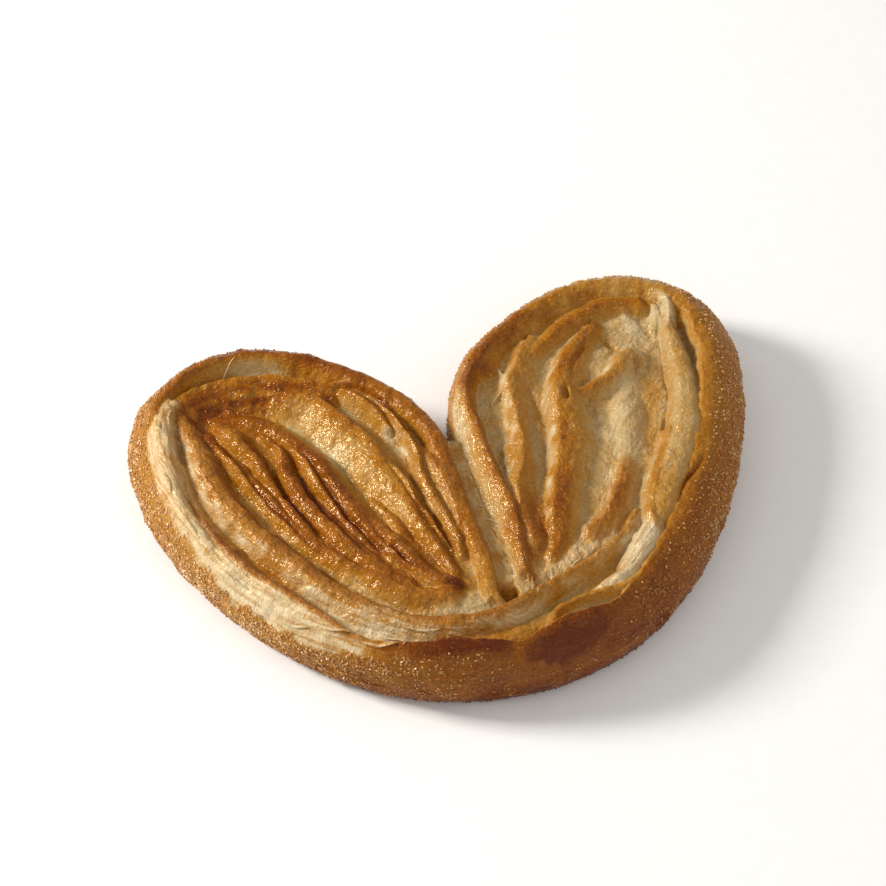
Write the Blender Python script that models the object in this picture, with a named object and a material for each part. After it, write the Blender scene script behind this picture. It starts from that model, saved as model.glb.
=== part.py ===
"""A palmier: one baked piece of folded puff dough, modelled as a single solid.

A folded strip of dough is bent into a U whose two arms lie against each other along a narrow
seam. The solid is that U: a rib runs from its middle line over the folds, down the wall and
back under the flat base, and the ribs stand side by side all round the outline.
Sizes are millimetres until MM turns them into Blender's metres. +Z is up, +X points to the
right lobe and +Y from the base to the notch between the lobes. The origin is the middle of
the footprint, on the surface that the pastry lies on.
"""

import bmesh
import bpy
import numpy as np

MM = 0.001

# The outline at its widest level, in four runs. Each run starts where the last one ends.
LEFT_OUTSIDE = (  # left tip, down the left side
    (-58.5, 34.5), (-61.9, 22.0), (-60.2, 8.0), (-55.0, -6.3), (-46.5, -20.0),
    (-34.3, -32.8), (-18.5, -42.3),
)
RIGHT_OUTSIDE = (  # middle of the base, up the right side
    (0.0, -45.6), (16.5, -43.3), (30.5, -36.0), (42.8, -23.5), (53.0, -8.3),
    (59.6, 8.0), (62.3, 22.0),
)
RIGHT_INSIDE = (  # right tip, back over the lobe and down the seam
    (59.5, 34.0), (50.5, 42.0), (38.0, 45.0), (25.0, 42.0), (12.5, 34.0),
    (3.8, 22.0), (0.8, 9.0), (0.4, -8.0), (0.5, -22.0), (2.3, -28.6),
)
LEFT_INSIDE = (  # foot of the seam, up the seam and back over the left lobe
    (0.5, -30.6), (-1.8, -28.8), (-0.2, -22.0), (-0.3, -8.0), (-0.9, 6.0),
    (-4.6, 19.5), (-13.0, 32.0), (-23.0, 40.0), (-35.5, 44.0), (-48.0, 42.0),
)
# Middle line of the folded dough, from each lobe's heart to the foot of the seam.
FOOT = (0.4, -33.2)
LEFT_SPINE = ((-45.5, 29.0), (-36.0, 12.0), (-27.0, -5.0), (-16.5, -21.0), FOOT)
RIGHT_SPINE = (FOOT, (16.5, -20.0), (27.0, -4.0), (35.5, 12.0), (45.0, 29.0))

# Heights and widths of a rib. "Outer" ribs face the outside and "seam" ribs the other arm.
RIM_HEIGHT = 16.5  # crest of the outermost fold
EQUATOR_HEIGHT = 7.5  # level where the outline is widest
OUTER_SHOULDER, SEAM_SHOULDER = 6.0, 3.0  # width of the rounded edge
OUTER_TUCK, SEAM_TUCK = 2.6, 0.3  # how far the wall draws in below the outline
OUTER_BAND, SEAM_BAND = 5.2, 6.0  # from the outermost fold's crest to the next one's
INNER_FOLD = 0.48  # place of the third crest, as a share of the way on to the middle line
CREST_HEIGHTS = (15.4, 14.6, 14.2)
VALLEY_DEPTHS = (3.4, 2.6, 2.2)  # below the lower of the two crests beside it
RIPPLES = ((0.30, 7, 0.4), (0.20, 12, 2.1))  # height, count and phase of each slow wave

# Mesh steps.
RIBS_PER_RUN = 54
SHOULDER_STEPS = 4
WALL_STEPS = 3
STEPS_PER_SLOPE = 2
SPLINE_STEPS = 40

CRUST_COLOUR = (0.42, 0.17, 0.045, 1.0)
CRUST_ROUGHNESS = 0.5


def spline(knots):
    """Dense points of the centripetal spline from the second knot to the last but one."""
    gaps = np.sqrt(np.linalg.norm(np.diff(knots, axis=0), axis=1))[:, None]
    slopes = np.diff(knots, axis=0) / gaps
    tangents = (slopes[1:] * gaps[:-1] + slopes[:-1] * gaps[1:]) / (gaps[1:] + gaps[:-1])
    t = np.linspace(0, 1, SPLINE_STEPS, endpoint=False)[:, None]
    spans = [
        (1 + 2 * t) * (1 - t) ** 2 * start + t**2 * (3 - 2 * t) * end
        + t * (1 - t) * gap * ((1 - t) * leave - t * arrive)
        for start, end, gap, leave, arrive in zip(
            knots[1:], knots[2:-1], gaps[1:], tangents, tangents[1:]
        )
    ]
    return np.vstack([*spans, knots[-2]])


def evenly(points, count):
    """count points at equal distances along a polyline, ends included."""
    steps = np.linalg.norm(np.diff(points, axis=0), axis=1)
    length = np.concatenate([[0], np.cumsum(steps)])
    at = np.linspace(0, length[-1], count)
    return np.stack([np.interp(at, length, points[:, k]) for k in range(2)], axis=1)


def outline_runs():
    """The four runs of the closed outline, each with one point for every rib of the run."""
    runs = (LEFT_OUTSIDE, RIGHT_OUTSIDE, RIGHT_INSIDE, LEFT_INSIDE)
    knots = np.array([point for run in runs for point in run])
    dense = spline(np.vstack([knots[-1:], knots, knots[:2]]))
    starts = np.cumsum([0] + [len(run) for run in runs]) * SPLINE_STEPS
    return [
        evenly(dense[low:high + 1], RIBS_PER_RUN + 1)[:-1]
        for low, high in zip(starts, starts[1:])
    ]


def inward_of(edges):
    """Unit vectors that point into the pastry, square to the closed outline."""
    along = np.roll(edges, -1, axis=0) - np.roll(edges, 1, axis=0)
    along /= np.linalg.norm(along, axis=1)[:, None]
    return np.stack([-along[:, 1], along[:, 0]], axis=1)


def spine_run(points):
    """One half of the middle line, with one point for every rib of a run."""
    knots = np.array(points)
    ends = np.vstack([2 * knots[0] - knots[1], knots, 2 * knots[-1] - knots[-2]])
    return evenly(spline(ends), RIBS_PER_RUN + 1)


def smooth_step(share):
    """0 to 1 with level ends."""
    return share * share * (3 - 2 * share)


def fold_rows(width, band, room, ripple):
    """(distance from the rim's crest, height) of the rows that make the folds, rim first.

    width is the distance to the middle line and band the one to the second crest. room goes
    from 1 to 0 at the foot of the seam, where the inner folds run out.
    """
    second = min(band, width * (1 - 0.4 * room))
    places = (0.0, second, second + INNER_FOLD * (width - second), width)
    crests = [RIM_HEIGHT + ripple, CREST_HEIGHTS[0] + ripple]
    crests += [crests[1] + (height - CREST_HEIGHTS[0]) * room for height in CREST_HEIGHTS[1:]]
    depths = (
        VALLEY_DEPTHS[0] * min(1.0, width / band),
        VALLEY_DEPTHS[1] * room,
        VALLEY_DEPTHS[2] * room,
    )
    rows = []
    for fold, depth in enumerate(depths):
        near, far = places[fold], places[fold + 1]
        floor = min(crests[fold], crests[fold + 1]) - depth
        levels = (crests[fold], floor, crests[fold + 1])
        for step in range(1, 2 * STEPS_PER_SLOPE + 1):
            slope, part = divmod(step, STEPS_PER_SLOPE)
            rise = levels[min(slope + 1, 2)] - levels[slope]
            height = levels[slope] + rise * smooth_step(part / STEPS_PER_SLOPE)
            rows.append((near + (far - near) * step / (2 * STEPS_PER_SLOPE), height))
    return rows


def rib(edge, inward, heart, at_seam, room, ripple):
    """Points of one rib: middle line, folds, shoulder, wall and back under to the middle line.

    edge is its point on the outline, inward the way in from there, and heart its point on the
    middle line. at_seam is 0 for an outer rib and 1 for a seam rib, room is that of fold_rows,
    and ripple is the height that its crests gain.
    """
    reach = np.linalg.norm(heart - edge)
    shoulder = min(OUTER_SHOULDER + (SEAM_SHOULDER - OUTER_SHOULDER) * at_seam, reach * 0.55)
    tuck = min(OUTER_TUCK + (SEAM_TUCK - OUTER_TUCK) * at_seam, reach / 4)
    band = OUTER_BAND + (SEAM_BAND - OUTER_BAND) * at_seam

    crest = edge + inward * shoulder
    width = np.linalg.norm(heart - crest)
    points = [
        (*(crest + (heart - crest) * distance / width), height)
        for distance, height in reversed(fold_rows(width, band, room, ripple))
    ]
    for angle in np.linspace(np.pi / 2, 0, SHOULDER_STEPS + 1):
        rise = (RIM_HEIGHT + ripple - EQUATOR_HEIGHT) * np.sin(angle)
        points.append((*(edge + inward * shoulder * (1 - np.cos(angle))), EQUATOR_HEIGHT + rise))
    for angle in np.linspace(0, np.pi / 2, WALL_STEPS + 1)[1:]:
        inset = inward * tuck * (1 - np.cos(angle))
        points.append((*(edge + inset), EQUATOR_HEIGHT * (1 - np.sin(angle))))
    toe = edge + inward * tuck
    points += [(*((toe + heart) / 2), 0.0), (*heart, 0.0)]
    return points


def all_ribs():
    """Every rib round the outline, as an array of (rib, row, xyz)."""
    left_spine, right_spine = spine_run(LEFT_SPINE), spine_run(RIGHT_SPINE)
    spines = (left_spine, right_spine, right_spine[::-1], left_spine[::-1])
    edges = np.vstack(outline_runs())
    ribs = []
    for place, (edge, inward) in enumerate(zip(edges, inward_of(edges))):
        run, step = divmod(place, RIBS_PER_RUN)
        from_tip = step / RIBS_PER_RUN
        if run in (1, 3):
            from_tip = 1 - from_tip
        at_seam = smooth_step(min(1.0, 2 * from_tip)) if run in (2, 3) else 0.0
        room = 1 - from_tip**6
        along = from_tip if run in (0, 3) else 2 - from_tip
        ripple = sum(
            height * np.sin(np.pi * count * along + phase) for height, count, phase in RIPPLES
        )
        ribs.append(rib(edge, inward, spines[run][step], at_seam, room, ripple))
    return np.array(ribs)


def palmier_mesh():
    """The ribs joined side by side into one closed mesh, zipped along the middle line."""
    points = all_ribs()
    corners = points.reshape(-1, 3)
    middle = (corners.min(axis=0) + corners.max(axis=0)) / 2
    points[..., :2] -= middle[:2]

    solid = bmesh.new()
    grid = [[solid.verts.new(point * MM) for point in row] for row in points]
    for here, there in zip(grid, grid[1:] + grid[:1]):
        for quad in zip(here, here[1:], there[1:], there):
            solid.faces.new(quad)
    bmesh.ops.remove_doubles(solid, verts=solid.verts, dist=0.01 * MM)
    bmesh.ops.recalc_face_normals(solid, faces=solid.faces)
    mesh = bpy.data.meshes.new("palmier")
    solid.to_mesh(mesh)
    solid.free()
    mesh.shade_smooth()
    return mesh


def baked_crust():
    """Golden brown baked dough."""
    material = bpy.data.materials.new("baked_crust")
    material.use_nodes = True
    shader = material.node_tree.nodes["Principled BSDF"]
    shader.inputs["Base Color"].default_value = CRUST_COLOUR
    shader.inputs["Roughness"].default_value = CRUST_ROUGHNESS
    return material


def main():
    """Clears the scene and builds the pastry."""
    for existing in list(bpy.data.objects):
        bpy.data.objects.remove(existing)
    mesh = palmier_mesh()
    mesh.materials.append(baked_crust())
    palmier = bpy.data.objects.new("palmier", mesh)
    bpy.context.scene.collection.objects.link(palmier)


main()
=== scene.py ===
"""A palmier: the finish of one baked piece of folded and sugared puff dough.

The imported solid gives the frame. The visible pastry is a rim of dough carried round the outline, a
leaf of folds in each lobe, a web at the bottom of the seam between them, an underside, the sugar
grains on the crust and the torn flakes.
Plan sizes are millimetres until MM turns them into metres. +Z is up, +X points to the right lobe
and +Y from the base to the notch between the lobes.
"""

from __future__ import annotations

import logging
import math
from collections.abc import Callable
from dataclasses import dataclass, field
from enum import Enum
from functools import partial

import bmesh
import bpy
import numpy as np
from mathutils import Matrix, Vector
from numpy.typing import NDArray

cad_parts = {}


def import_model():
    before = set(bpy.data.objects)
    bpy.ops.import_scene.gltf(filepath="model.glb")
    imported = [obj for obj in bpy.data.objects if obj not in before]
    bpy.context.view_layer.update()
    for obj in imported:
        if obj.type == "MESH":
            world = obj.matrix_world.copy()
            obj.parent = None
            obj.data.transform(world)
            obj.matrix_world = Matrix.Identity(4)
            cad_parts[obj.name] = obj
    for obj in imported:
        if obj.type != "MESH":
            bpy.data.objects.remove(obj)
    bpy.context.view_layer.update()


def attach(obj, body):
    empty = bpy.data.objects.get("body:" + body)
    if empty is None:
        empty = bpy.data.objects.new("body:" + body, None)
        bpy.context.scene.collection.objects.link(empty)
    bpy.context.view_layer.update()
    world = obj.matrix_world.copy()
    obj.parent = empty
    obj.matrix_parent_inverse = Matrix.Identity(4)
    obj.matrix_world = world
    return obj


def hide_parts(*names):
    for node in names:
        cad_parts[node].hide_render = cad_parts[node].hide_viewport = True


LOG = logging.getLogger("palmier")

Floats = NDArray[np.float64]
Ints = NDArray[np.int64]
Point = tuple[float, float]
Colour = tuple[float, float, float]
Stops = tuple[tuple[float, Colour], ...]
Material = bpy.types.Material
Piece = bpy.types.Object
Node = bpy.types.Node
Plug = bpy.types.NodeSocket
Value = Plug | float

MM = 0.001
NODE = "palmier"
CRUST_SLOT = "baked_crust"
SUGAR_SLOT = "sugar_crystals"
MILLIMETRES_A_TURN = 120.0  # about the length of one turn of the outline


# ---- number tools


def hashed(cells: Ints, seed: int) -> Floats:
    """Repeatable values from -1 to 1, one for each pair of whole numbers.

    Args:
        cells: whole numbers, with the pair on the last axis.
        seed: picks one of many unrelated patterns.

    Returns:
        One value for each pair.
    """
    mixed = cells[..., 0] * 73856093 ^ cells[..., 1] * 19349663 ^ seed * 83492791
    mixed = ((mixed ^ (mixed >> 13)) * 1274126177) & 0x7FFFFFFF
    mixed ^= mixed >> 15
    return mixed / 0x3FFFFFFF - 1.0


def noise(points: Floats, size: float, seed: int) -> Floats:
    """Smooth hills and dips: cell corners get random values, and a quintic blends between them.

    Args:
        points: places on a plane, in millimetres, with the pair on the last axis.
        size: width of a hill, in millimetres.
        seed: picks the pattern.

    Returns:
        Values from about -1 to 1.
    """
    scaled = points / size
    cell = np.floor(scaled).astype(np.int64)
    part = scaled - cell
    part = part**3 * (part * (part * 6 - 15) + 10)
    x, y = part[..., 0], part[..., 1]
    low = hashed(cell, seed) * (1 - x) + hashed(cell + (1, 0), seed) * x
    high = hashed(cell + (0, 1), seed) * (1 - x) + hashed(cell + (1, 1), seed) * x
    return low * (1 - y) + high * y


def rough(points: Floats, size: float, octaves: int, seed: int) -> Floats:
    """Noise with finer noise on top: each octave is half as wide and half as high.

    Args:
        points: places on a plane, in millimetres.
        size: width of the largest hills.
        octaves: number of layers.
        seed: picks the pattern.

    Returns:
        Values from about -1.5 to 1.5.
    """
    return sum(
        (noise(points, size / 2**k, seed + 17 * k) / 2**k for k in range(octaves)),
        np.zeros(points.shape[:-1]),
    )


def waver(along: Floats, size: float, seed: int) -> Floats:
    """One-dimensional noise along a path, for lumps and bends that don't repeat."""
    return noise(np.stack([along, np.zeros_like(along)], axis=-1), size, seed)


def wavers(along: Floats, layers: tuple[tuple[float, float, int], ...], number: int) -> Floats:
    """Wavers added up, each given by its size, its height and the seed that its numbers follow."""
    return sum(height * waver(along, size, seed + number) for size, height, seed in layers)


def smooth_step(value: Floats, start: float, end: float) -> Floats:
    """0 at start and 1 at end, level at both."""
    share = np.clip((value - start) / (end - start), 0.0, 1.0)
    return share * share * (3 - 2 * share)


def spline(knots: Floats, steps: int) -> Floats:
    """A centripetal spline through all knots but the first and last, which only steer it.

    Each span is a cubic with the knots' tangents, and a tangent weighs the chords on both sides
    by the square roots of their lengths.

    Args:
        knots: points of the curve, one steering point at each end included.
        steps: points for each span.

    Returns:
        Dense points of the curve.
    """
    gaps = np.sqrt(np.linalg.norm(np.diff(knots, axis=0), axis=1))[:, None]
    slopes = np.diff(knots, axis=0) / gaps
    tangents = (slopes[1:] * gaps[:-1] + slopes[:-1] * gaps[1:]) / (gaps[1:] + gaps[:-1])
    t = np.linspace(0, 1, steps, endpoint=False)[None, :, None]
    start, end = knots[1:-2, None], knots[2:-1, None]
    gap, leave, arrive = gaps[1:-1, None], tangents[:-1, None], tangents[1:, None]
    spans = (
        (1 + 2 * t) * (1 - t) ** 2 * start
        + t**2 * (3 - 2 * t) * end
        + t * (1 - t) * gap * ((1 - t) * leave - t * arrive)
    )
    return np.vstack([spans.reshape(-1, knots.shape[1]), knots[-2:-1]])


def open_spline(points: tuple[Point, ...], steps: int = 12) -> Floats:
    """A spline through all the points, steered at its ends by their mirror images."""
    knots = np.array(points)
    first, last = 2 * knots[0] - knots[1], 2 * knots[-1] - knots[-2]
    return spline(np.vstack([first, knots, last]), steps)


def lengths_along(points: Floats) -> Floats:
    """Distance of each point of a polyline from its start, measured along it."""
    return np.concatenate([[0.0], np.cumsum(np.linalg.norm(np.diff(points, axis=0), axis=1))])


def read_rows(at: Floats, keys: Floats, rows: Floats) -> Floats:
    """Rows given at rising keys, read between them."""
    return np.stack([np.interp(at, keys, column) for column in rows.T], axis=-1)


def evenly(points: Floats, count: int) -> Floats:
    """The given number of points at equal distances along a polyline, both ends included."""
    length = lengths_along(points)
    return read_rows(np.linspace(0, length[-1], count), length, points)


def spread(values: tuple[float, ...], share: Floats) -> Floats:
    """Values given at equal steps from 0 to 1, read between them."""
    return np.interp(share, np.linspace(0, 1, len(values)), values)


@dataclass
class Nearest:
    """Where points lie beside a path."""

    side: Floats  # distance to the path, positive on its left-hand side
    share: Floats  # place of the nearest point along the path, from 0 to 1
    along: Floats  # the same place in millimetres


def nearest_on(path: Floats, points: Floats, chunk: int = 6000) -> Nearest:
    """Finds the nearest place on a polyline for each point.

    Each point is dropped square onto every segment, held between its ends, and the shortest drop
    wins. The sign of the cross product with the segment tells the side.

    Args:
        path: the polyline's points.
        points: places to measure.
        chunk: places handled at once.

    Returns:
        The side distance and the place along the path, for each point.
    """
    start, step = path[:-1], np.diff(path, axis=0)
    square = (step**2).sum(axis=1)
    length = lengths_along(path)
    side, along = np.empty(len(points)), np.empty(len(points))
    for low in range(0, len(points), chunk):
        offset = points[low : low + chunk, None] - start
        share = np.clip((offset * step).sum(axis=2) / square, 0, 1)
        gap = offset - share[..., None] * step
        distance = np.hypot(gap[..., 0], gap[..., 1])
        best = distance.argmin(axis=1)
        row = np.arange(len(best))
        cross = step[best, 0] * gap[row, best, 1] - step[best, 1] * gap[row, best, 0]
        side[low : low + chunk] = np.copysign(distance[row, best], cross)
        along[low : low + chunk] = length[best] + share[row, best] * np.sqrt(square[best])
    return Nearest(side, along / length[-1], along)


# ---- the outline


class Run(Enum):
    """The four runs of the outline, in order. A turn of 1.5 is halfway along RIGHT_OUTSIDE."""

    LEFT_OUTSIDE = 0
    RIGHT_OUTSIDE = 1
    RIGHT_INSIDE = 2
    LEFT_INSIDE = 3


OUTLINE: dict[Run, tuple[Point, ...]] = {
    Run.LEFT_OUTSIDE: (  # left tip, down the left side
        (-58.5, 34.5), (-61.9, 22.0), (-60.2, 8.0), (-55.0, -6.3), (-46.5, -20.0),
        (-34.3, -32.8), (-18.5, -42.3),
    ),
    Run.RIGHT_OUTSIDE: (  # middle of the base, up the right side
        (0.0, -45.6), (16.5, -43.3), (30.5, -36.0), (42.8, -23.5), (53.0, -8.3),
        (59.6, 8.0), (62.3, 22.0),
    ),
    Run.RIGHT_INSIDE: (  # right tip, back over the lobe and down the seam
        (59.5, 34.0), (50.5, 42.0), (38.0, 45.0), (25.0, 42.0), (12.0, 34.6), (4.7, 26.9),
        (1.1, 18.4), (-0.2, 8.0), (0.0, -8.0), (0.6, -19.0), (1.2, -25.0), (2.2, -28.6),
    ),
    Run.LEFT_INSIDE: (  # foot of the seam, up the seam and back over the left lobe
        (0.5, -30.6), (-1.0, -28.8), (-0.5, -25.0), (0.0, -19.0), (-0.5, -8.0), (-0.7, 5.0),
        (-1.6, 14.4), (-6.2, 24.3), (-13.6, 32.6), (-23.0, 40.0), (-35.5, 44.0), (-48.0, 42.0),
    ),
}

# (turn, width) of the rounded edge of the crust, from the widest level in to the rim's crest.
SHOULDER = (
    (0.0, 5.0), (0.3, 5.6), (0.6, 5.4), (0.85, 4.6), (0.99, 4.2), (1.05, 5.2), (1.12, 6.2),
    (1.25, 6.8), (1.4, 7.4), (1.6, 8.4), (1.85, 8.6), (2.0, 7.0), (2.15, 5.0), (2.4, 4.2),
    (2.52, 3.4), (2.6, 1.8), (2.68, 1.2), (2.97, 1.2), (3.0, 1.3), (3.05, 1.7), (3.15, 2.0),
    (3.4, 2.2), (3.5, 2.8), (3.7, 4.0), (3.9, 4.4),
)
EQUATOR_HEIGHT = 7.5  # level where the outline is widest
WALL_TUCK = ((0.0, 2.6), (1.9, 2.6), (2.3, 1.6), (2.6, 0.3), (3.4, 0.3), (3.7, 1.6), (3.95, 2.6))
RIM_REACH = ((0.0, 2.4), (2.5, 2.0), (2.9, 1.2), (3.0, 0.9), (3.1, 1.2), (3.5, 2.0), (3.9, 2.4))


def round_trip(stations: tuple[tuple[float, float], ...], turn: Floats) -> Floats:
    """Values given at turns of the outline, read between them, the last joining the first."""
    turns, values = zip(*stations)
    return np.interp(turn, turns, values, period=len(Run))


@dataclass
class Outline:
    """The closed outline at the widest level, with what is measured from it."""

    count: int = 1480  # points round the outline
    points: Floats = field(init=False)
    inward: Floats = field(init=False)
    turn: Floats = field(init=False)
    along: Floats = field(init=False)
    centre: Floats = field(init=False)

    def __post_init__(self) -> None:
        """Splines the control points and spreads points evenly over the whole length."""
        steps = 40
        knots = np.array([point for run in Run for point in OUTLINE[run]])
        dense = spline(np.vstack([knots[-1:], knots, knots[:2]]), steps)
        ends = np.cumsum([0] + [len(OUTLINE[run]) for run in Run]) * steps
        length = lengths_along(dense)
        turn = np.interp(length, length[ends], np.arange(len(Run) + 1))
        at = np.linspace(0, length[-1], self.count, endpoint=False)
        self.points = read_rows(at, length, dense)
        self.turn = np.interp(at, length, turn)
        self.along = at
        tangent = np.roll(self.points, -1, axis=0) - np.roll(self.points, 1, axis=0)
        tangent /= np.linalg.norm(tangent, axis=1)[:, None]
        self.inward = np.stack([-tangent[:, 1], tangent[:, 0]], axis=1)
        self.centre = (dense.min(axis=0) + dense.max(axis=0)) / 2

    def reach(self, turn: Floats) -> Floats:
        """How far in from the outline the rim piece goes before the leaves take over."""
        return round_trip(SHOULDER, turn) + round_trip(RIM_REACH, turn)

    def inset_at(self, turn: Floats, inset: Floats) -> Floats:
        """Points at given turns, the given distances in from the outline.

        Args:
            turn: places round the outline.
            inset: distances in from it, in millimetres.

        Returns:
            Places on the plan.
        """
        keys = np.append(self.turn, self.turn[0] + len(Run))
        closed = np.vstack([self.points, self.points[:1]])
        inward = np.vstack([self.inward, self.inward[:1]])
        at = np.mod(turn, len(Run))
        normal = read_rows(at, keys, inward)
        normal /= np.linalg.norm(normal, axis=-1)[..., None]
        return read_rows(at, keys, closed) + normal * inset[..., None]

    def locate(self, points: Floats) -> tuple[Floats, Floats]:
        """The turn and the inset of places on the plan.

        Args:
            points: places on the plan.

        Returns:
            For each place, the turn of the nearest outline point and the distance to it.
        """
        thin = slice(None, None, 3)
        path = np.vstack([self.points[thin], self.points[:1]])
        turns = np.append(self.turn[thin], self.turn[0] + len(Run))
        near = nearest_on(path, points)
        return np.interp(near.along, lengths_along(path), turns), near.side


# ---- the folds


@dataclass
class Site:
    """Places where the dough's surface is worked out."""

    plan: Floats  # places on the plan, in millimetres
    turn: Floats  # turn of the outline nearest to each place
    inset: Floats  # distance in from the outline
    wander: Floats = field(init=False)  # noise around 1

    def __post_init__(self) -> None:
        """Noise that keeps the edges of patches uneven."""
        self.wander = 1 + 0.35 * rough(self.plan, 3.0, 3, 311)

    def beside(self, path: Floats, reach: float) -> tuple[Ints, Nearest]:
        """The places inside a path's box, grown by the reach, and where they lie beside it."""
        low, high = path.min(axis=0) - reach, path.max(axis=0) + reach
        near_by = np.flatnonzero(((self.plan > low) & (self.plan < high)).all(axis=1))
        return near_by, nearest_on(path, self.plan[near_by])


@dataclass(frozen=True)
class Fold:
    """One raised fold of dough, as a walk along its crest from start to end.

    Its section falls away on both sides as a power of the distance. Values given as tuples are
    spread at equal steps along the crest, and pairs are for the left-hand and right-hand side.
    """

    path: tuple[Point, ...]  # points that the crest runs through on the plan
    crest: tuple[float, ...]  # heights of the crest
    left: tuple[float, ...]  # distance at which the left-hand side has fallen by one millimetre
    right: tuple[float, ...]  # the same on the right-hand side
    bake: tuple[float, ...]  # browning of the crest, 0 pale to 1 burnt
    fade: Point = (1.5, 1.5)  # drop over which the browning goes back to the ground's
    under: float = 0.0  # extra browning down the left-hand side, partly real browning and partly painted shade of the side turned from the lamp
    over: float = 0.0  # extra browning down the right-hand side, partly real browning and partly painted shade; below 0 it makes that side paler, painted light on the side facing the lamp
    flake: float = 0.0  # how dry and layered the dough is
    gloss: float = 0.7  # how much glaze lies on it
    power: Point = (1.8, 1.6)  # how the sides fall, where a high power makes a flat-topped fold
    lumps: float = 0.28  # height of its unevenness

    REACH = 13.0  # distance at which the fold no longer counts

    def find(self, site: Site) -> tuple[Ints, Nearest]:
        """The sites within reach and where they lie beside the crest."""
        return site.beside(open_spline(self.path), self.REACH)


@dataclass(frozen=True)
class RimFold(Fold):
    """A fold that runs along the outline, at its own inset.

    The path's points are (turn, inset) pairs. Turns rise round the outline, so the fold's left
    is towards the middle of the lobe.
    """

    OVERRUN = 0.12  # turns past its ends where it still counts

    def find(self, site: Site) -> tuple[Ints, Nearest]:
        """The sites within reach and where they lie beside the crest."""
        turns, insets = np.array(self.path).T
        ahead = np.mod(site.turn - turns[0] + 0.5, len(Run)) - 0.5
        span = turns[-1] - turns[0]
        over = np.maximum(-ahead, 0) + np.maximum(ahead - span, 0)
        near_by = np.flatnonzero(over < self.OVERRUN)
        ahead, over = ahead[near_by], over[near_by]
        side = site.inset[near_by] - np.interp(ahead, turns - turns[0], insets)
        side = np.copysign(np.hypot(side, over * MILLIMETRES_A_TURN), side)
        return near_by, Nearest(side, np.clip(ahead / span, 0, 1), ahead * MILLIMETRES_A_TURN)


@dataclass
class Dough:
    """The state of the dough's surface at each site."""

    height: Floats
    bake: Floats
    flake: Floats
    gloss: Floats
    sugar: Floats


@dataclass(frozen=True)
class Patch:
    """A soft oval where the dough is lifted, dented, browned or left pale."""

    centre: Point  # its middle on the plan
    size: Point  # its half-widths along and across
    angle: float = 0.0  # direction of its long way, in degrees from +X
    lift: float = 0.0  # change in height at its middle
    bake: float = 0.0  # change in browning at its middle
    flake: float = 0.0  # change in flakiness at its middle
    gloss: float = 0.0  # change in glaze at its middle

    def add_to(self, dough: Dough, site: Site) -> None:
        """Changes the dough, most at the middle and falling off as a bell with a wandering edge."""
        turn = math.radians(self.angle)
        across = site.plan - self.centre
        u = (across[:, 0] * math.cos(turn) + across[:, 1] * math.sin(turn)) / self.size[0]
        v = (across[:, 1] * math.cos(turn) - across[:, 0] * math.sin(turn)) / self.size[1]
        strength = np.exp(-(((u**2 + v**2) * site.wander) ** 1.5))
        dough.height += self.lift * strength
        dough.bake += self.bake * strength
        dough.flake += self.flake * strength
        dough.gloss += self.gloss * strength


@dataclass(frozen=True)
class Crease:
    """A sharp furrow pressed into the finished relief."""

    path: tuple[Point, ...]  # points that it runs through on the plan
    depth: float  # its depth in the middle of its length
    width: float  # distance to where it has half that depth
    bake: float = 0.1  # change in browning along its floor, which paints the shade in the furrow

    def press(self, dough: Dough, site: Site) -> None:
        """Lowers the dough along the path and darkens its floor as painted shade, less and less towards its
        ends.
        """
        here, near = site.beside(open_spline(self.path), 4 * self.width)
        bend = 0.25 * waver(near.along, 4.0, 600 + len(self.path))
        share = np.exp(-(((near.side + bend) / self.width) ** 2)) * np.sin(np.pi * near.share)
        dough.height[here] -= self.depth * share
        dough.bake[here] += self.bake * share


# Glazed fold of an inner coil: lumpy, and paler down its right-hand side, which is painted light on the side
# facing the lamp.
coil_fold = partial(Fold, fade=(3.0, 1.6), over=-0.16, gloss=1.0, power=(2.0, 1.4), lumps=0.42)

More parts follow.
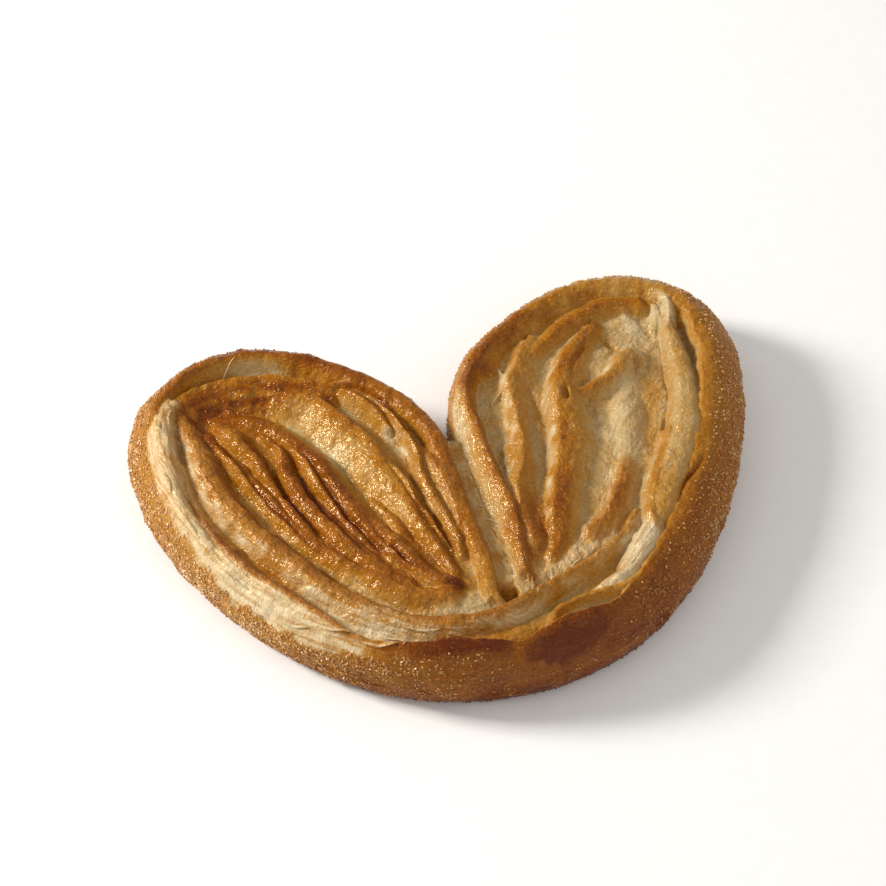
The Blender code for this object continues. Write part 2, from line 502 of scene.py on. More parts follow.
RIM_FOLDS: tuple[Fold, ...] = (
    # Ledge of crust down the left side, below the layered lip.
    RimFold(
        path=((-0.16, 3.6), (0.0, 3.8), (0.12, 3.2), (0.24, 2.4), (0.33, 1.7)),
        crest=(15.4, 14.4, 13.9, 13.6, 13.0), left=(1.2,), right=(3.0,), bake=(0.6, 0.5, 0.46, 0.46, 0.5),
        gloss=0.25,
    ),
    # Pale layered lip down the left side, which sinks to the outer edge.
    RimFold(
        path=((-0.03, 7.0), (0.06, 6.9), (0.147, 5.9), (0.203, 5.0), (0.256, 4.0), (0.3, 3.3), (0.35, 2.7),
        (0.4, 2.1), (0.45, 1.7), (0.52, 1.5)), crest=(16.0, 16.6, 16.6, 16.3, 16.0, 15.6, 15.2, 14.9, 14.4),
        left=(2.1, 2.1, 2.1, 2.2, 2.2), right=(1.6, 1.6, 1.4, 1.2, 1.2),
        bake=(0.36, 0.3, 0.28, 0.24, 0.16, 0.12), fade=(1.4, 1.2), flake=0.85, gloss=0.5, power=(3.2, 1.7),
        lumps=0.26,
    ),
    # Brown ridge along the lower left, whose pale layered outside falls away like a slope.
    RimFold(
        path=((0.25, 7.0), (0.3, 6.4), (0.36, 5.9), (0.42, 5.4), (0.488, 5.1), (0.545, 5.2), (0.585, 5.0),
        (0.633, 4.2), (0.671, 3.2), (0.7, 2.6), (0.74, 2.3)),
        crest=(13.8, 14.7, 15.1, 15.2, 15.3, 15.4, 15.4, 15.2), left=(0.9, 0.9, 1.1, 0.9),
        right=(1.2, 2.0, 2.6, 2.6, 2.2), bake=(0.6, 0.76, 0.8, 0.74, 0.66, 0.6), fade=(3.0, 0.22),
        flake=0.95, gloss=0.35, power=(1.8, 1.4), lumps=0.2,
    ),
    # Dark crest along the base, broken once near its middle.
    RimFold(
        path=((0.71, 2.3), (0.76, 2.8), (0.8, 3.4), (0.87, 4.3), (0.92, 4.2), (0.96, 3.9), (0.98, 3.6)),
        crest=(14.8, 15.8, 16.4, 16.7, 16.5, 15.6), left=(0.9,), right=(3.0,),
        bake=(0.62, 0.72, 0.92, 1.0, 0.94, 0.86), fade=(0.5, 4.0), gloss=0.8,
    ),
    RimFold(  # the same crest on the right, above a burnt glossy slope
        path=((0.997, 3.3), (1.013, 4.0), (1.047, 4.8), (1.08, 5.3), (1.113, 5.4), (1.141, 4.9),
        (1.173, 4.5), (1.209, 4.5), (1.236, 5.0), (1.28, 6.0), (1.36, 7.0)),
        crest=(15.7, 16.7, 16.7, 16.3, 16.0, 15.8, 15.5), left=(0.7, 0.7, 0.9), right=(4.4,),
        bake=(0.66, 0.74, 0.82, 0.8, 0.74, 0.7, 0.68), fade=(0.3, 5.0), under=-0.2, over=0.14, gloss=1.0,
        power=(1.8, 2.2), lumps=0.2,
    ),
    # Broad crust up the right side.
    RimFold(
        path=((1.3, 6.2), (1.38, 7.2), (1.5, 8.2), (1.7, 8.6), (1.9, 8.4), (2.03, 6.8)),
        crest=(15.2, 15.5, 15.8, 16.2, 16.4), left=(0.9,), right=(6.0,), bake=(0.66, 0.6, 0.52, 0.5, 0.54),
        fade=(1.0, 4.0), gloss=0.3, power=(1.7, 2.2),
    ),
    # Back of the right lobe, then its edge along the seam.
    RimFold(
        path=((1.98, 6.4), (2.1, 5.0), (2.25, 4.0), (2.36, 2.7), (2.5, 2.3)), crest=(16.4, 16.7, 16.8, 16.4),
        left=(1.9, 2.2, 2.4), right=(3.2,), bake=(0.48, 0.34, 0.42, 0.62, 0.72), fade=(3.5, 3.0), under=0.24,
        gloss=0.95, power=(1.8, 1.8),
    ),
    RimFold(
        path=((2.46, 3.7), (2.55, 3.4), (2.604, 4.2), (2.648, 4.9), (2.697, 5.5), (2.745, 5.8), (2.785, 6.1),
        (2.829, 6.0), (2.88, 5.3), (2.93, 4.1), (2.955, 3.0)),
        crest=(16.3, 16.2, 15.9, 15.8, 15.7, 15.4, 14.6), left=(1.3, 1.0, 1.0, 1.2, 1.6),
        right=(2.4, 1.7, 1.6, 1.4, 1.2), bake=(0.8, 0.78, 0.7, 0.64, 0.62, 0.64, 0.66), fade=(3.0, 1.3),
        under=0.14, over=-0.12, flake=0.25, gloss=1.0, power=(2.0, 1.5), lumps=0.2,
    ),
    # Edge of the left lobe along the seam, then its back.
    RimFold(
        path=((3.03, 1.9), (3.12, 2.4), (3.35, 2.8), (3.5, 3.4), (3.6, 3.8)),
        crest=(14.4, 15.0, 15.3, 15.5, 15.9, 16.5), left=(1.5,), right=(2.6, 2.6, 2.8),
        bake=(0.46, 0.66, 0.7, 0.68, 0.68, 0.76), fade=(2.4, 2.4), gloss=0.8, power=(2.2, 2.2), lumps=0.2,
    ),
    RimFold(
        path=((3.54, 3.7), (3.7, 3.9), (3.9, 4.3), (4.03, 5.2)), crest=(16.3, 16.8, 16.9, 16.7, 16.2),
        left=(1.3,), right=(3.0,), bake=(0.78, 0.86, 0.84, 0.7, 0.6), fade=(1.6, 2.6), gloss=0.6,
    ),
)

LEFT_FOLDS: tuple[Fold, ...] = (
    Fold(  # the second fold, from the tip down the side and round below both lobes
        path=((-51.6, 32.8), (-50.3, 26.0), (-49.6, 20.0), (-49.0, 13.0), (-47.6, 7.0), (-45.6, 1.2),
        (-42.3, -5.5), (-38.4, -12.3), (-34.2, -18.3), (-30.2, -23.0), (-25.8, -26.9), (-20.8, -30.4),
        (-15.0, -32.8), (-9.0, -34.0), (-3.0, -33.8), (3.4, -31.8), (9.0, -29.8), (15.0, -27.4),
        (21.0, -24.3), (26.0, -20.8), (29.5, -16.8)),
        crest=(14.8, 15.8, 16.0, 16.1, 16.0, 15.9, 15.8, 15.6, 15.6, 15.6, 15.7, 15.6, 15.3, 15.0, 14.4),
        left=(1.8, 2.4, 2.6, 2.6, 2.4, 2.0, 1.4, 1.1, 0.9, 1.0, 1.0),
        right=(1.0, 1.5, 1.6, 1.5, 1.6, 2.2, 2.4, 1.7, 1.5, 1.3, 1.3),
        bake=(0.72, 0.58, 0.58, 0.58, 0.6, 0.64, 0.66, 0.6, 0.52, 0.46, 0.46), fade=(3.0, 3.0), under=0.28,
        over=-0.34, flake=0.35, power=(2.6, 1.9),
    ),
    coil_fold(  # left edge of the inner coil
        path=((-46.8, 22.0), (-45.0, 18.3), (-43.5, 15.0), (-42.0, 11.0), (-40.7, 8.0), (-39.0, 5.0),
        (-38.0, 2.0), (-36.9, -1.5), (-35.0, -5.8), (-32.7, -9.3), (-30.0, -13.0), (-27.2, -16.4),
        (-24.0, -20.0), (-20.5, -23.8), (-16.0, -26.2), (-10.5, -27.2)),
        crest=(14.2, 15.0, 15.0, 14.8, 14.9, 14.9, 14.8, 14.4), left=(1.8, 1.5, 1.7, 2.2, 2.4, 2.4),
        right=(1.0, 1.0, 1.2, 1.3, 1.3, 2.0), bake=(0.77, 0.62, 0.62, 0.65, 0.65, 0.62, 0.57), under=0.12,
    ),
    coil_fold(
        path=((-44.2, 25.0), (-43.0, 21.8), (-41.3, 18.5), (-39.8, 16.0), (-38.6, 13.6), (-38.0, 10.8),
        (-37.0, 7.6), (-35.8, 4.0)), crest=(14.4, 15.5, 15.2, 15.1, 15.0, 14.2), left=(2.6, 2.2, 1.5, 1.5),
        right=(1.0, 0.9, 1.0), bake=(0.67, 0.57, 0.65, 0.67, 0.69), fade=(2.6, 1.6), under=0.2, over=-0.1,
        power=(2.2, 1.4),
    ),
    coil_fold(
        path=((-35.9, 5.5), (-34.8, 0.5), (-33.8, -3.5), (-32.0, -8.5)), crest=(13.8, 14.8, 14.7, 13.8),
        left=(1.7,), right=(0.9,), bake=(0.77, 0.75, 0.69, 0.67), under=0.1,
    ),
    coil_fold(
        path=((-36.0, 20.2), (-33.6, 17.0), (-33.4, 13.5), (-34.1, 10.2), (-33.0, 7.0), (-32.2, 3.5),
        (-31.1, 0.0), (-29.7, -3.5), (-28.4, -7.2), (-26.2, -11.2), (-23.8, -15.2), (-21.3, -18.5),
        (-17.6, -22.0)), crest=(14.0, 14.9, 15.0, 14.8, 14.9, 15.1, 15.1, 14.9, 14.2),
        left=(1.8, 1.9, 2.3, 2.4, 2.0), right=(0.9, 0.9, 1.2, 2.2, 2.4, 1.5),
        bake=(0.73, 0.7, 0.74, 0.72, 0.66, 0.68, 0.72), under=0.18, gloss=0.95, power=(2.1, 1.4),
    ),
    coil_fold(
        path=((-31.8, 17.2), (-30.2, 13.6), (-29.3, 10.0), (-28.6, 6.0), (-27.4, 1.6), (-26.0, -2.4),
        (-24.4, -7.4), (-22.2, -12.2)), crest=(14.4, 15.2, 15.2, 14.9, 14.8, 14.5, 13.8),
        left=(1.9, 1.9, 1.8), right=(1.2, 1.0, 0.9), bake=(0.62, 0.62, 0.69, 0.75, 0.79), under=0.14,
        gloss=0.9, power=(2.1, 1.4),
    ),
    coil_fold(  # right edge of the inner coil
        path=((-42.5, 25.3), (-38.2, 24.4), (-35.0, 21.6), (-32.6, 18.8), (-30.0, 15.8), (-28.0, 12.3),
        (-26.7, 8.5), (-25.5, 5.0), (-24.3, 0.5), (-23.0, -3.8), (-21.8, -8.0), (-19.4, -12.8),
        (-16.8, -17.0), (-13.5, -21.0)), crest=(14.4, 15.0, 15.2, 15.2, 15.1, 15.1, 15.0, 14.8, 14.2),
        left=(1.9, 2.2, 2.0, 2.0, 1.8), right=(1.3, 1.2, 1.0, 1.2, 1.0),
        bake=(0.77, 0.75, 0.75, 0.83, 0.79, 0.73, 0.77, 0.77), fade=(1.4, 1.6), under=0.08, over=-0.1,
        power=(2.0, 1.5),
    ),
    coil_fold(
        path=((-21.6, -4.0), (-19.8, -7.6), (-18.2, -11.3), (-16.6, -15.0), (-15.1, -18.5), (-12.6, -22.4),
        (-9.5, -24.6)), crest=(13.4, 14.9, 15.1, 15.0, 14.8, 14.2), left=(2.0,), right=(1.2,),
        bake=(0.67, 0.65, 0.63, 0.67, 0.75), under=0.2, power=(2.1, 1.4),
    ),
    coil_fold(
        path=((-18.4, 0.0), (-17.0, -5.0), (-15.6, -9.6), (-13.3, -14.5)), crest=(12.6, 13.8, 13.9, 13.4),
        left=(1.5,), right=(1.2,), bake=(0.52, 0.57, 0.69, 0.77), under=0.1, gloss=0.9, power=(2.0, 1.5),
    ),
    Fold(  # fold that closes the pale channel on its right
        path=((-30.0, 29.4), (-24.4, 27.2), (-20.9, 21.8), (-18.3, 16.8), (-16.4, 12.6), (-15.2, 8.8),
        (-14.2, 4.4), (-13.4, 0.0), (-12.6, -4.5), (-11.8, -9.0), (-10.6, -13.2), (-9.1, -17.6),
        (-8.0, -21.8)), crest=(14.6, 15.4, 15.7, 15.6, 15.4, 15.3, 15.0, 14.8, 14.2),
        left=(1.1, 1.2, 1.2, 1.3, 1.5), right=(2.2, 2.9, 2.9, 2.2, 1.3, 1.2),
        bake=(0.7, 0.6, 0.56, 0.56, 0.6, 0.64, 0.7), fade=(2.6, 1.6), under=0.14, over=-0.16, gloss=1.0,
        power=(2.0, 1.6),
    ),
    Fold(
        path=((-19.6, 28.0), (-17.2, 25.8), (-15.0, 22.6), (-13.2, 19.4), (-12.0, 16.0)),
        crest=(14.8, 15.9, 15.9, 15.4, 14.6), left=(1.3,), right=(0.9,), bake=(0.7, 0.58, 0.56, 0.6),
        fade=(3.0, 1.6), under=0.14, over=-0.16, gloss=1.0, power=(2.0, 1.4),
    ),
    Fold(
        path=((-15.8, 12.0), (-13.7, 6.8), (-12.4, 3.2), (-11.6, -0.5), (-10.7, -5.0), (-9.0, -10.5),
        (-7.3, -16.5)), crest=(14.4, 15.2, 15.3, 15.1, 14.9, 14.4, 13.8), left=(0.9,), right=(0.9,),
        bake=(0.5, 0.5, 0.55, 0.72, 0.72, 0.68), fade=(2.0, 1.6), over=-0.16, gloss=0.9, power=(1.9, 1.4),
    ),
    Fold(
        path=((-22.0, 29.0), (-17.2, 28.4), (-13.6, 26.6), (-11.3, 23.2), (-10.2, 19.0), (-9.1, 15.0),
        (-8.1, 11.4), (-7.7, 7.8), (-8.1, 4.0), (-7.9, -0.5), (-7.1, -5.0), (-6.3, -9.2), (-5.6, -13.5),
        (-5.8, -18.0)), crest=(15.4, 15.9, 16.0, 15.9, 15.7, 15.6, 15.4, 15.2, 15.1, 14.9, 14.0),
        left=(0.8, 0.8, 0.9, 1.1, 1.3), right=(0.9, 0.9, 0.8, 1.0, 1.2, 1.0),
        bake=(0.7, 0.68, 0.66, 0.64, 0.58, 0.54, 0.54, 0.6), fade=(2.0, 1.6), under=0.16, over=-0.16,
        flake=0.15, gloss=1.0, power=(1.9, 1.4),
    ),
    Fold(
        path=((-7.2, 8.0), (-5.8, 4.6), (-4.8, 1.0), (-4.3, -2.6), (-4.1, -7.0), (-4.5, -12.0)),
        crest=(14.6, 15.4, 15.5, 15.3, 15.0, 14.4), left=(2.0,), right=(1.0, 1.5, 1.2, 0.9),
        bake=(0.6, 0.62, 0.62, 0.62, 0.62), fade=(3.0, 1.6), under=0.08, over=-0.12, flake=0.1,
        power=(2.4, 1.4),
    ),
    Fold(  # fold that closes the lobe at its back: a gold edge above a slope browned dark, much of it painted shade
        path=((-52.0, 32.4), (-47.5, 34.0), (-43.0, 35.0), (-38.0, 35.0), (-33.0, 34.3), (-28.5, 32.6),
        (-24.0, 30.6), (-20.0, 28.2)), crest=(15.6, 15.7, 15.9, 15.9, 15.6, 15.4), left=(0.7, 0.8, 0.9),
        right=(2.6, 2.9, 2.5, 1.8), bake=(0.55, 0.55, 0.58, 0.6, 0.62), fade=(0.6, 4.0), over=0.42,
        gloss=0.85, power=(1.6, 1.25),
    ),
)

RIGHT_FOLDS: tuple[Fold, ...] = (
    Fold(  # smooth blistered band inside the crust
        path=((49.0, 29.0), (49.0, 25.0), (48.4, 20.0), (47.8, 14.0), (46.8, 7.5), (45.0, 1.5), (42.2, -4.2),
        (38.8, -9.2), (35.8, -14.0), (33.8, -18.4)), crest=(15.4, 16.3, 16.5, 16.6, 16.6, 16.5, 16.2, 15.6),
        left=(1.5, 1.8, 2.2, 2.8, 2.8, 2.2), right=(1.2, 1.4, 1.8, 2.4, 2.6, 2.0),
        bake=(0.32, 0.3, 0.26, 0.26, 0.3, 0.4), fade=(1.6, 1.6), over=-0.1, gloss=0.9, power=(3.2, 2.6),
    ),
    Fold(  # its lower end, an orange ridge down to the puffed strip
        path=((41.6, 0.6), (39.2, -3.8), (36.4, -8.6), (34.0, -13.0), (32.2, -17.6), (31.4, -21.6)),
        crest=(15.6, 16.1, 16.2, 16.0, 15.6), left=(1.3, 1.4, 1.4), right=(1.0, 1.2, 1.2),
        bake=(0.42, 0.48, 0.52, 0.5, 0.4), fade=(0.8, 2.0), over=-0.25, gloss=0.9, power=(2.0, 1.6),
    ),
    Fold(  # pale puffed strip under it
        path=((32.0, -19.8), (30.0, -23.2), (27.4, -26.6), (24.8, -29.0)), crest=(14.8, 16.0, 16.2, 15.4),
        left=(1.9,), right=(1.8,), bake=(0.1, 0.0, 0.0, 0.1), fade=(3.0, 3.0), flake=1.0, power=(2.2, 2.0),
    ),
    Fold(
        path=((24.2, -30.2), (21.4, -31.9), (17.8, -33.4)), crest=(15.2, 15.8, 14.8), left=(1.4,),
        right=(1.5,), bake=(0.1, 0.0, 0.1), fade=(3.0, 2.0), flake=1.0, power=(2.2, 2.0),
    ),
    Fold(  # thin gold crust edge outside the strip
        path=((36.0, -22.0), (32.0, -25.6), (28.6, -29.4), (25.4, -32.4), (22.0, -34.4), (18.0, -34.6),
        (14.8, -34.6), (11.4, -35.0), (8.2, -36.2), (6.4, -38.4)),
        crest=(14.8, 15.4, 15.5, 15.7, 15.7, 15.4, 15.0), left=(0.8,), right=(1.1,),
        bake=(0.45, 0.4, 0.42, 0.5, 0.6), fade=(1.5, 0.8), gloss=0.8, power=(1.8, 1.7),
    ),
    Fold(  # thin gold fold with a broad pale slope towards the seam
        path=((20.4, 30.4), (18.4, 27.6), (16.2, 24.0), (14.6, 20.8), (13.8, 17.0), (13.8, 13.0),
        (13.4, 9.0), (12.6, 5.0), (11.6, 1.0), (9.8, -2.8), (8.6, -7.0), (8.0, -12.0), (8.4, -18.0)),
        crest=(14.6, 15.2, 15.2, 15.2, 15.3, 15.3, 15.2, 14.9, 14.6),
        left=(2.4, 2.6, 1.6, 1.0, 1.1, 1.8, 2.4), right=(1.0, 1.1, 1.0, 1.6, 1.9, 1.4, 2.0),
        bake=(0.5, 0.48, 0.5, 0.54, 0.54, 0.6, 0.64), fade=(1.4, 4.0), over=-0.34, flake=0.1,
        power=(1.7, 1.3),
    ),
    Fold(  # twig of stretched dough beside it
        path=((13.6, 25.6), (14.0, 22.5), (13.6, 20.2), (12.2, 18.8), (10.2, 17.4)),
        crest=(13.4, 14.3, 14.7, 14.0, 13.0), left=(0.5,), right=(0.5,), bake=(0.3, 0.25, 0.25, 0.3),
        fade=(2.0, 2.0), flake=0.6, gloss=0.6, power=(1.6, 1.6),
    ),
    Fold(  # rim of the small hollow in the channel
        path=((4.8, 2.0), (5.2, -0.6), (6.3, -2.4), (7.7, -2.9), (9.0, -1.4)),
        crest=(13.6, 14.2, 14.3, 14.2), left=(0.5,), right=(0.5,), bake=(0.3, 0.22, 0.3), fade=(2.0, 2.0),
    ),
    Fold(  # the strongest fold of the right lobe, broad and flat-topped
        path=((33.6, 30.4), (30.8, 28.2), (28.4, 25.6), (26.4, 22.6), (24.2, 19.2), (22.8, 16.0),
        (22.2, 12.6), (21.6, 9.0), (20.4, 5.0), (19.2, 1.0), (17.8, -2.6), (16.2, -6.4), (15.0, -10.0),
        (13.9, -14.0), (12.2, -18.5), (10.8, -22.0)),
        crest=(15.0, 15.7, 15.9, 16.0, 16.0, 15.9, 15.8, 15.6, 15.3, 14.8, 14.2),
        left=(2.4, 3.4, 3.4, 4.0, 4.2, 3.6, 3.2, 2.6), right=(1.0, 1.2, 1.2, 1.2, 1.2, 1.1, 1.2),
        bake=(0.6, 0.55, 0.52, 0.5, 0.52, 0.56, 0.62), fade=(1.5, 4.0), under=0.06, over=-0.38, gloss=0.9,
        power=(2.6, 1.5), lumps=0.42,
    ),
    Fold(  # fold whose head curls over the smooth pale dough
        path=((41.6, 20.2), (40.8, 22.2), (39.2, 21.8), (37.2, 19.8), (34.2, 17.2), (31.4, 15.9),
        (27.4, 15.2)), crest=(13.8, 15.0, 15.5, 15.6, 15.6, 15.4, 15.0), left=(2.4, 2.2, 2.0, 1.4, 1.2),
        right=(1.0, 1.6, 1.8, 1.6, 1.1), bake=(0.3, 0.36, 0.46, 0.56, 0.6), fade=(1.0, 4.0), over=-0.42,
        flake=0.2, gloss=0.6, power=(1.8, 2.4),
    ),
    Fold(
        path=((31.6, -1.0), (29.8, -6.4), (27.2, -11.4), (23.8, -15.6), (19.6, -18.8)),
        crest=(13.4, 14.4, 14.7, 14.6, 14.0), left=(2.4,), right=(1.5,), bake=(0.36, 0.52, 0.6, 0.58, 0.5),
        fade=(1.6, 2.2), over=-0.24, flake=0.3, gloss=0.6, power=(1.8, 1.5),
    ),
    Fold(
        path=((21.4, 0.5), (22.6, -3.4), (23.8, -7.0)), crest=(13.4, 13.8, 12.6), left=(1.3,), right=(1.2,),
        bake=(0.42, 0.44, 0.3), fade=(1.2, 0.8), gloss=0.6,
    ),
    Fold(  # soft swell down the smooth pale dough
        path=((37.0, 17.0), (35.6, 11.0), (34.0, 5.0), (32.0, -1.0), (29.5, -8.0)),
        crest=(13.2, 13.6, 13.7, 13.4, 13.0), left=(3.2,), right=(2.6,), bake=(0.2, 0.16, 0.16, 0.2),
        fade=(2.0, 2.0), flake=0.3, gloss=0.3, power=(2.0, 1.6),
    ),
    Fold(  # brown fold that closes the lobe at its back
        path=((46.6, 33.8), (42.6, 35.4), (36.6, 35.0), (31.6, 33.4), (25.8, 30.4), (21.0, 27.0)),
        crest=(15.2, 15.5, 15.5, 15.4, 15.0, 14.4), left=(1.4,), right=(1.8,),
        bake=(0.6, 0.68, 0.68, 0.62, 0.5), fade=(1.6, 1.6), gloss=0.9, power=(1.6, 1.5),
    ),
    Fold(  # pale lip of the narrow lens near the tip
        path=((48.4, 36.8), (50.2, 34.6), (50.6, 31.0), (49.8, 27.6), (48.6, 25.0)),
        crest=(15.6, 16.3, 16.4, 16.2, 15.8), left=(0.9,), right=(1.1,), bake=(0.25, 0.12, 0.14, 0.3),
        fade=(2.0, 2.0), flake=0.8, gloss=0.6, power=(1.8, 1.8),
    ),
)

# What lies between the folds, before they are raised.
GROUND: tuple[Patch, ...] = (
    Patch((-32.0, 3.0), (26.0, 8.5), -60.0, lift=0.9, bake=0.38, gloss=0.5),
    Patch((-13.0, -16.0), (9.0, 8.0), -60.0, lift=0.5, bake=0.36, gloss=0.5),
    Patch((-27.5, 15.0), (13.0, 3.6), -56.0, lift=-1.0, bake=-0.16, gloss=0.3, flake=-0.2),
    Patch((-17.5, -1.0), (12.0, 3.0), -62.0, lift=-1.2, bake=0.10, gloss=0.4, flake=-0.2),
    Patch((-11.0, 10.0), (16.0, 4.0), -75.0, lift=0.5, bake=0.22),
    Patch((-9.0, -8.0), (9.0, 1.2), -74.0, lift=-0.8, bake=0.10),
    Patch((-42.0, 28.0), (11.0, 6.0), -5.0, lift=0.4, bake=0.45, gloss=0.5),
    Patch((-47.5, 17.0), (14.0, 2.4), -78.0, bake=0.35),
    Patch((-53.6, 16.0), (13.0, 1.6), -84.0, lift=2.0, bake=0.02, flake=0.3),
    Patch((-50.0, -2.0), (9.0, 1.8), -68.0, lift=1.8, bake=0.24),
    Patch((-43.0, -11.0), (10.0, 1.8), -52.0, lift=0.4, bake=0.32),
    Patch((-7.5, -29.6), (9.0, 2.2), 0.0, lift=0.5, bake=-0.12, gloss=0.2),
    Patch((-24.0, 34.6), (9.0, 2.0), -30.0, lift=0.6, bake=0.16),
    Patch((9.0, -14.5), (9.0, 5.0), 86.0, lift=1.4, bake=0.5, gloss=0.5),
    Patch((14.0, -23.6), (8.5, 2.8), 18.0, lift=0.9, bake=-0.06, flake=0.6),
    Patch((40.0, 29.5), (6.0, 4.4), -40.0, lift=1.0, bake=-0.06, gloss=0.5, flake=0.2),
    Patch((32.2, 22.6), (6.2, 4.8), 40.0, lift=1.3, bake=0.0, flake=0.1),
    Patch((48.0, 31.4), (4.6, 1.7), 84.0, lift=2.2, bake=-0.1, flake=0.1),
    Patch((40.5, 10.0), (14.0, 2.4), 74.0, lift=-0.2, bake=0.10),
    Patch((33.0, 6.0), (15.0, 4.5), 72.0, lift=0.1, bake=-0.06),
    Patch((24.0, -28.0), (14.0, 2.2), 42.0, bake=0.06),
    Patch((-27.0, -31.4), (8.0, 1.5), -38.0, lift=0.5, bake=-0.1, flake=0.5),
    Patch((4.0, -36.8), (7.0, 2.2), 12.0, lift=0.8, bake=0.04),
    Patch((14.0, -36.8), (7.0, 1.4), 8.0, lift=1.4, bake=-0.1, gloss=0.4),
    Patch((-6.0, -38.0), (13.0, 2.4), -4.0, lift=0.7, bake=0.30),
    Patch((32.0, 37.4), (12.0, 1.4), 12.0, lift=1.9, bake=0.12, gloss=0.5),
)

# Last touches on the raised folds.
PATCHES: tuple[Patch, ...] = (
    Patch((-42.5, -21.6), (13.0, 3.0), -48.0, bake=-0.12, flake=0.6),
    Patch((-24.0, -30.5), (9.5, 3.0), -38.0, bake=-0.16, flake=0.7, lift=0.15),
    Patch((-33.0, 37.4), (9.5, 1.7), -8.0, lift=0.9, bake=-0.14, flake=0.1),
    Patch((-28.6, 34.6), (2.6, 1.3), -35.0, lift=0.5, bake=-0.18, flake=0.1),
    Patch((-11.8, 14.8), (1.9, 1.2), -70.0, lift=0.35, bake=-0.36, flake=0.6),
    Patch((-10.3, 10.0), (2.2, 1.0), -72.0, lift=0.3, bake=-0.36, flake=0.6),
    Patch((-7.0, -24.8), (4.0, 1.7), 10.0, bake=0.26),
    Patch((-41.5, 22.0), (2.6, 1.5), -60.0, lift=0.3, bake=-0.1),
    Patch((2.6, 14.5), (6.0, 1.6), 84.0, bake=-0.14, flake=0.4),
    Patch((24.3, 14.4), (1.5, 0.6), 78.0, lift=-1.3, bake=-0.1),
    Patch((22.6, 14.2), (1.8, 0.5), 70.0, lift=0.2, bake=-0.12, flake=0.2),
    Patch((42.5, 29.2), (3.4, 1.6), 100.0, lift=0.3, bake=-0.16, gloss=0.3, flake=0.3),
    Patch((-7.0, -41.4), (4.0, 1.6), 0.0, bake=0.14),
    Patch((25.6, 22.0), (4.6, 1.4), 62.0, bake=0.16),
    Patch((21.2, 5.6), (4.4, 1.3), 78.0, bake=0.14),
    Patch((17.0, -8.6), (6.0, 1.8), 70.0, bake=0.18),
    Patch((27.0, -12.0), (5.5, 1.6), 55.0, bake=0.12),
    Patch((8.4, -42.6), (10.5, 3.0), 12.0, bake=0.17),
    Patch((6.6, -43.9), (6.8, 2.0), 7.0, bake=0.20),
    Patch((9.0, -15.5), (8.5, 6.0), 84.0, bake=0.05),
    Patch((14.5, -31.0), (13.0, 3.4), 24.0, bake=0.06, flake=-0.7),
)

# Furrows between the folds, most with floors darkened as painted shade.
CREASES: tuple[Crease, ...] = (
    Crease(((-46.2, 23.6), (-42.8, 15.6), (-40.8, 10.0), (-38.8, 4.4), (-36.8, -1.0), (-33.6, -8.0),
           (-29.4, -14.6)), depth=0.9, width=0.55, bake=0.24),
    Crease(((-42.4, 23.6), (-38.2, 17.0), (-36.6, 12.0), (-35.2, 6.0), (-33.4, 0.0), (-30.8, -6.0),
           (-27.4, -12.5), (-22.4, -19.4)), depth=0.9, width=0.55, bake=0.24),
    Crease(((-35.2, 20.4), (-31.9, 14.5), (-31.2, 9.0), (-30.0, 3.5), (-28.4, -2.0), (-26.0, -8.0),
           (-22.4, -14.6)), depth=0.9, width=0.5, bake=0.24),
    Crease(((-32.6, 18.6), (-29.2, 13.0), (-27.6, 7.0), (-26.0, 1.0), (-24.4, -4.0), (-22.2, -9.6),
           (-18.4, -16.6)), depth=0.8, width=0.5, bake=0.24),
    Crease(((-20.4, -9.0), (-18.0, -13.6), (-15.8, -17.8), (-12.6, -21.6)), depth=0.7, width=0.5, bake=0.2),
    Crease(((46.8, 23.0), (45.3, 16.0), (44.4, 9.0), (41.2, 2.6), (38.6, -4.0), (35.4, -9.0), (32.6, -14.0),
           (31.0, -19.0)), depth=0.8, width=0.6, bake=0.12),
    Crease(((-19.4, 28.0), (-15.4, 26.8), (-12.1, 23.8), (-10.0, 19.0), (-8.7, 14.5), (-7.2, 9.0)),
           depth=0.9, width=0.35, bake=0.3),
    Crease(((-46.5, 14.0), (-44.6, 6.0), (-41.6, -1.0), (-37.6, -7.4), (-33.2, -14.0), (-28.4, -20.4),
           (-23.4, -26.0), (-17.0, -30.0), (-9.0, -32.0)), depth=0.8, width=0.45, bake=0.22),
    Crease(((-9.6, -4.0), (-8.6, -9.0), (-7.4, -13.6), (-6.6, -17.6)), depth=0.8, width=0.4, bake=0.2),
    Crease(((46.4, -7.0), (43.0, -10.6), (40.0, -13.8), (37.6, -17.6)), depth=1.0, width=0.45, bake=0.25),
    Crease(((35.6, 28.6), (36.4, 26.0), (38.0, 23.9), (40.2, 23.6)), depth=0.9, width=0.6, bake=0.2),
    Crease(((32.8, 28.0), (29.9, 24.2), (27.7, 20.6), (26.2, 17.0)), depth=0.6, width=0.6, bake=0.2),
    Crease(((15.8, 26.0), (17.4, 20.0), (18.4, 14.0), (18.0, 8.0), (16.4, 2.0)), depth=0.5, width=0.7,
           bake=0.06),
    Crease(((47.2, 35.4), (46.9, 32.6), (47.5, 29.6)), depth=0.9, width=0.7, bake=-0.1),
    Crease(((-49.4, -15.4), (-47.6, -19.4), (-45.4, -23.2)), depth=0.9, width=0.5, bake=0.2),
)

FLOOR_HEIGHT = 12.4  # level between the folds
FLOOR_BAKE = 0.24  # browning there
BLEND = 0.20  # how softly one fold runs into the next
LEVEL = 15.0  # height from which the soft maximum counts, so that its powers stay small

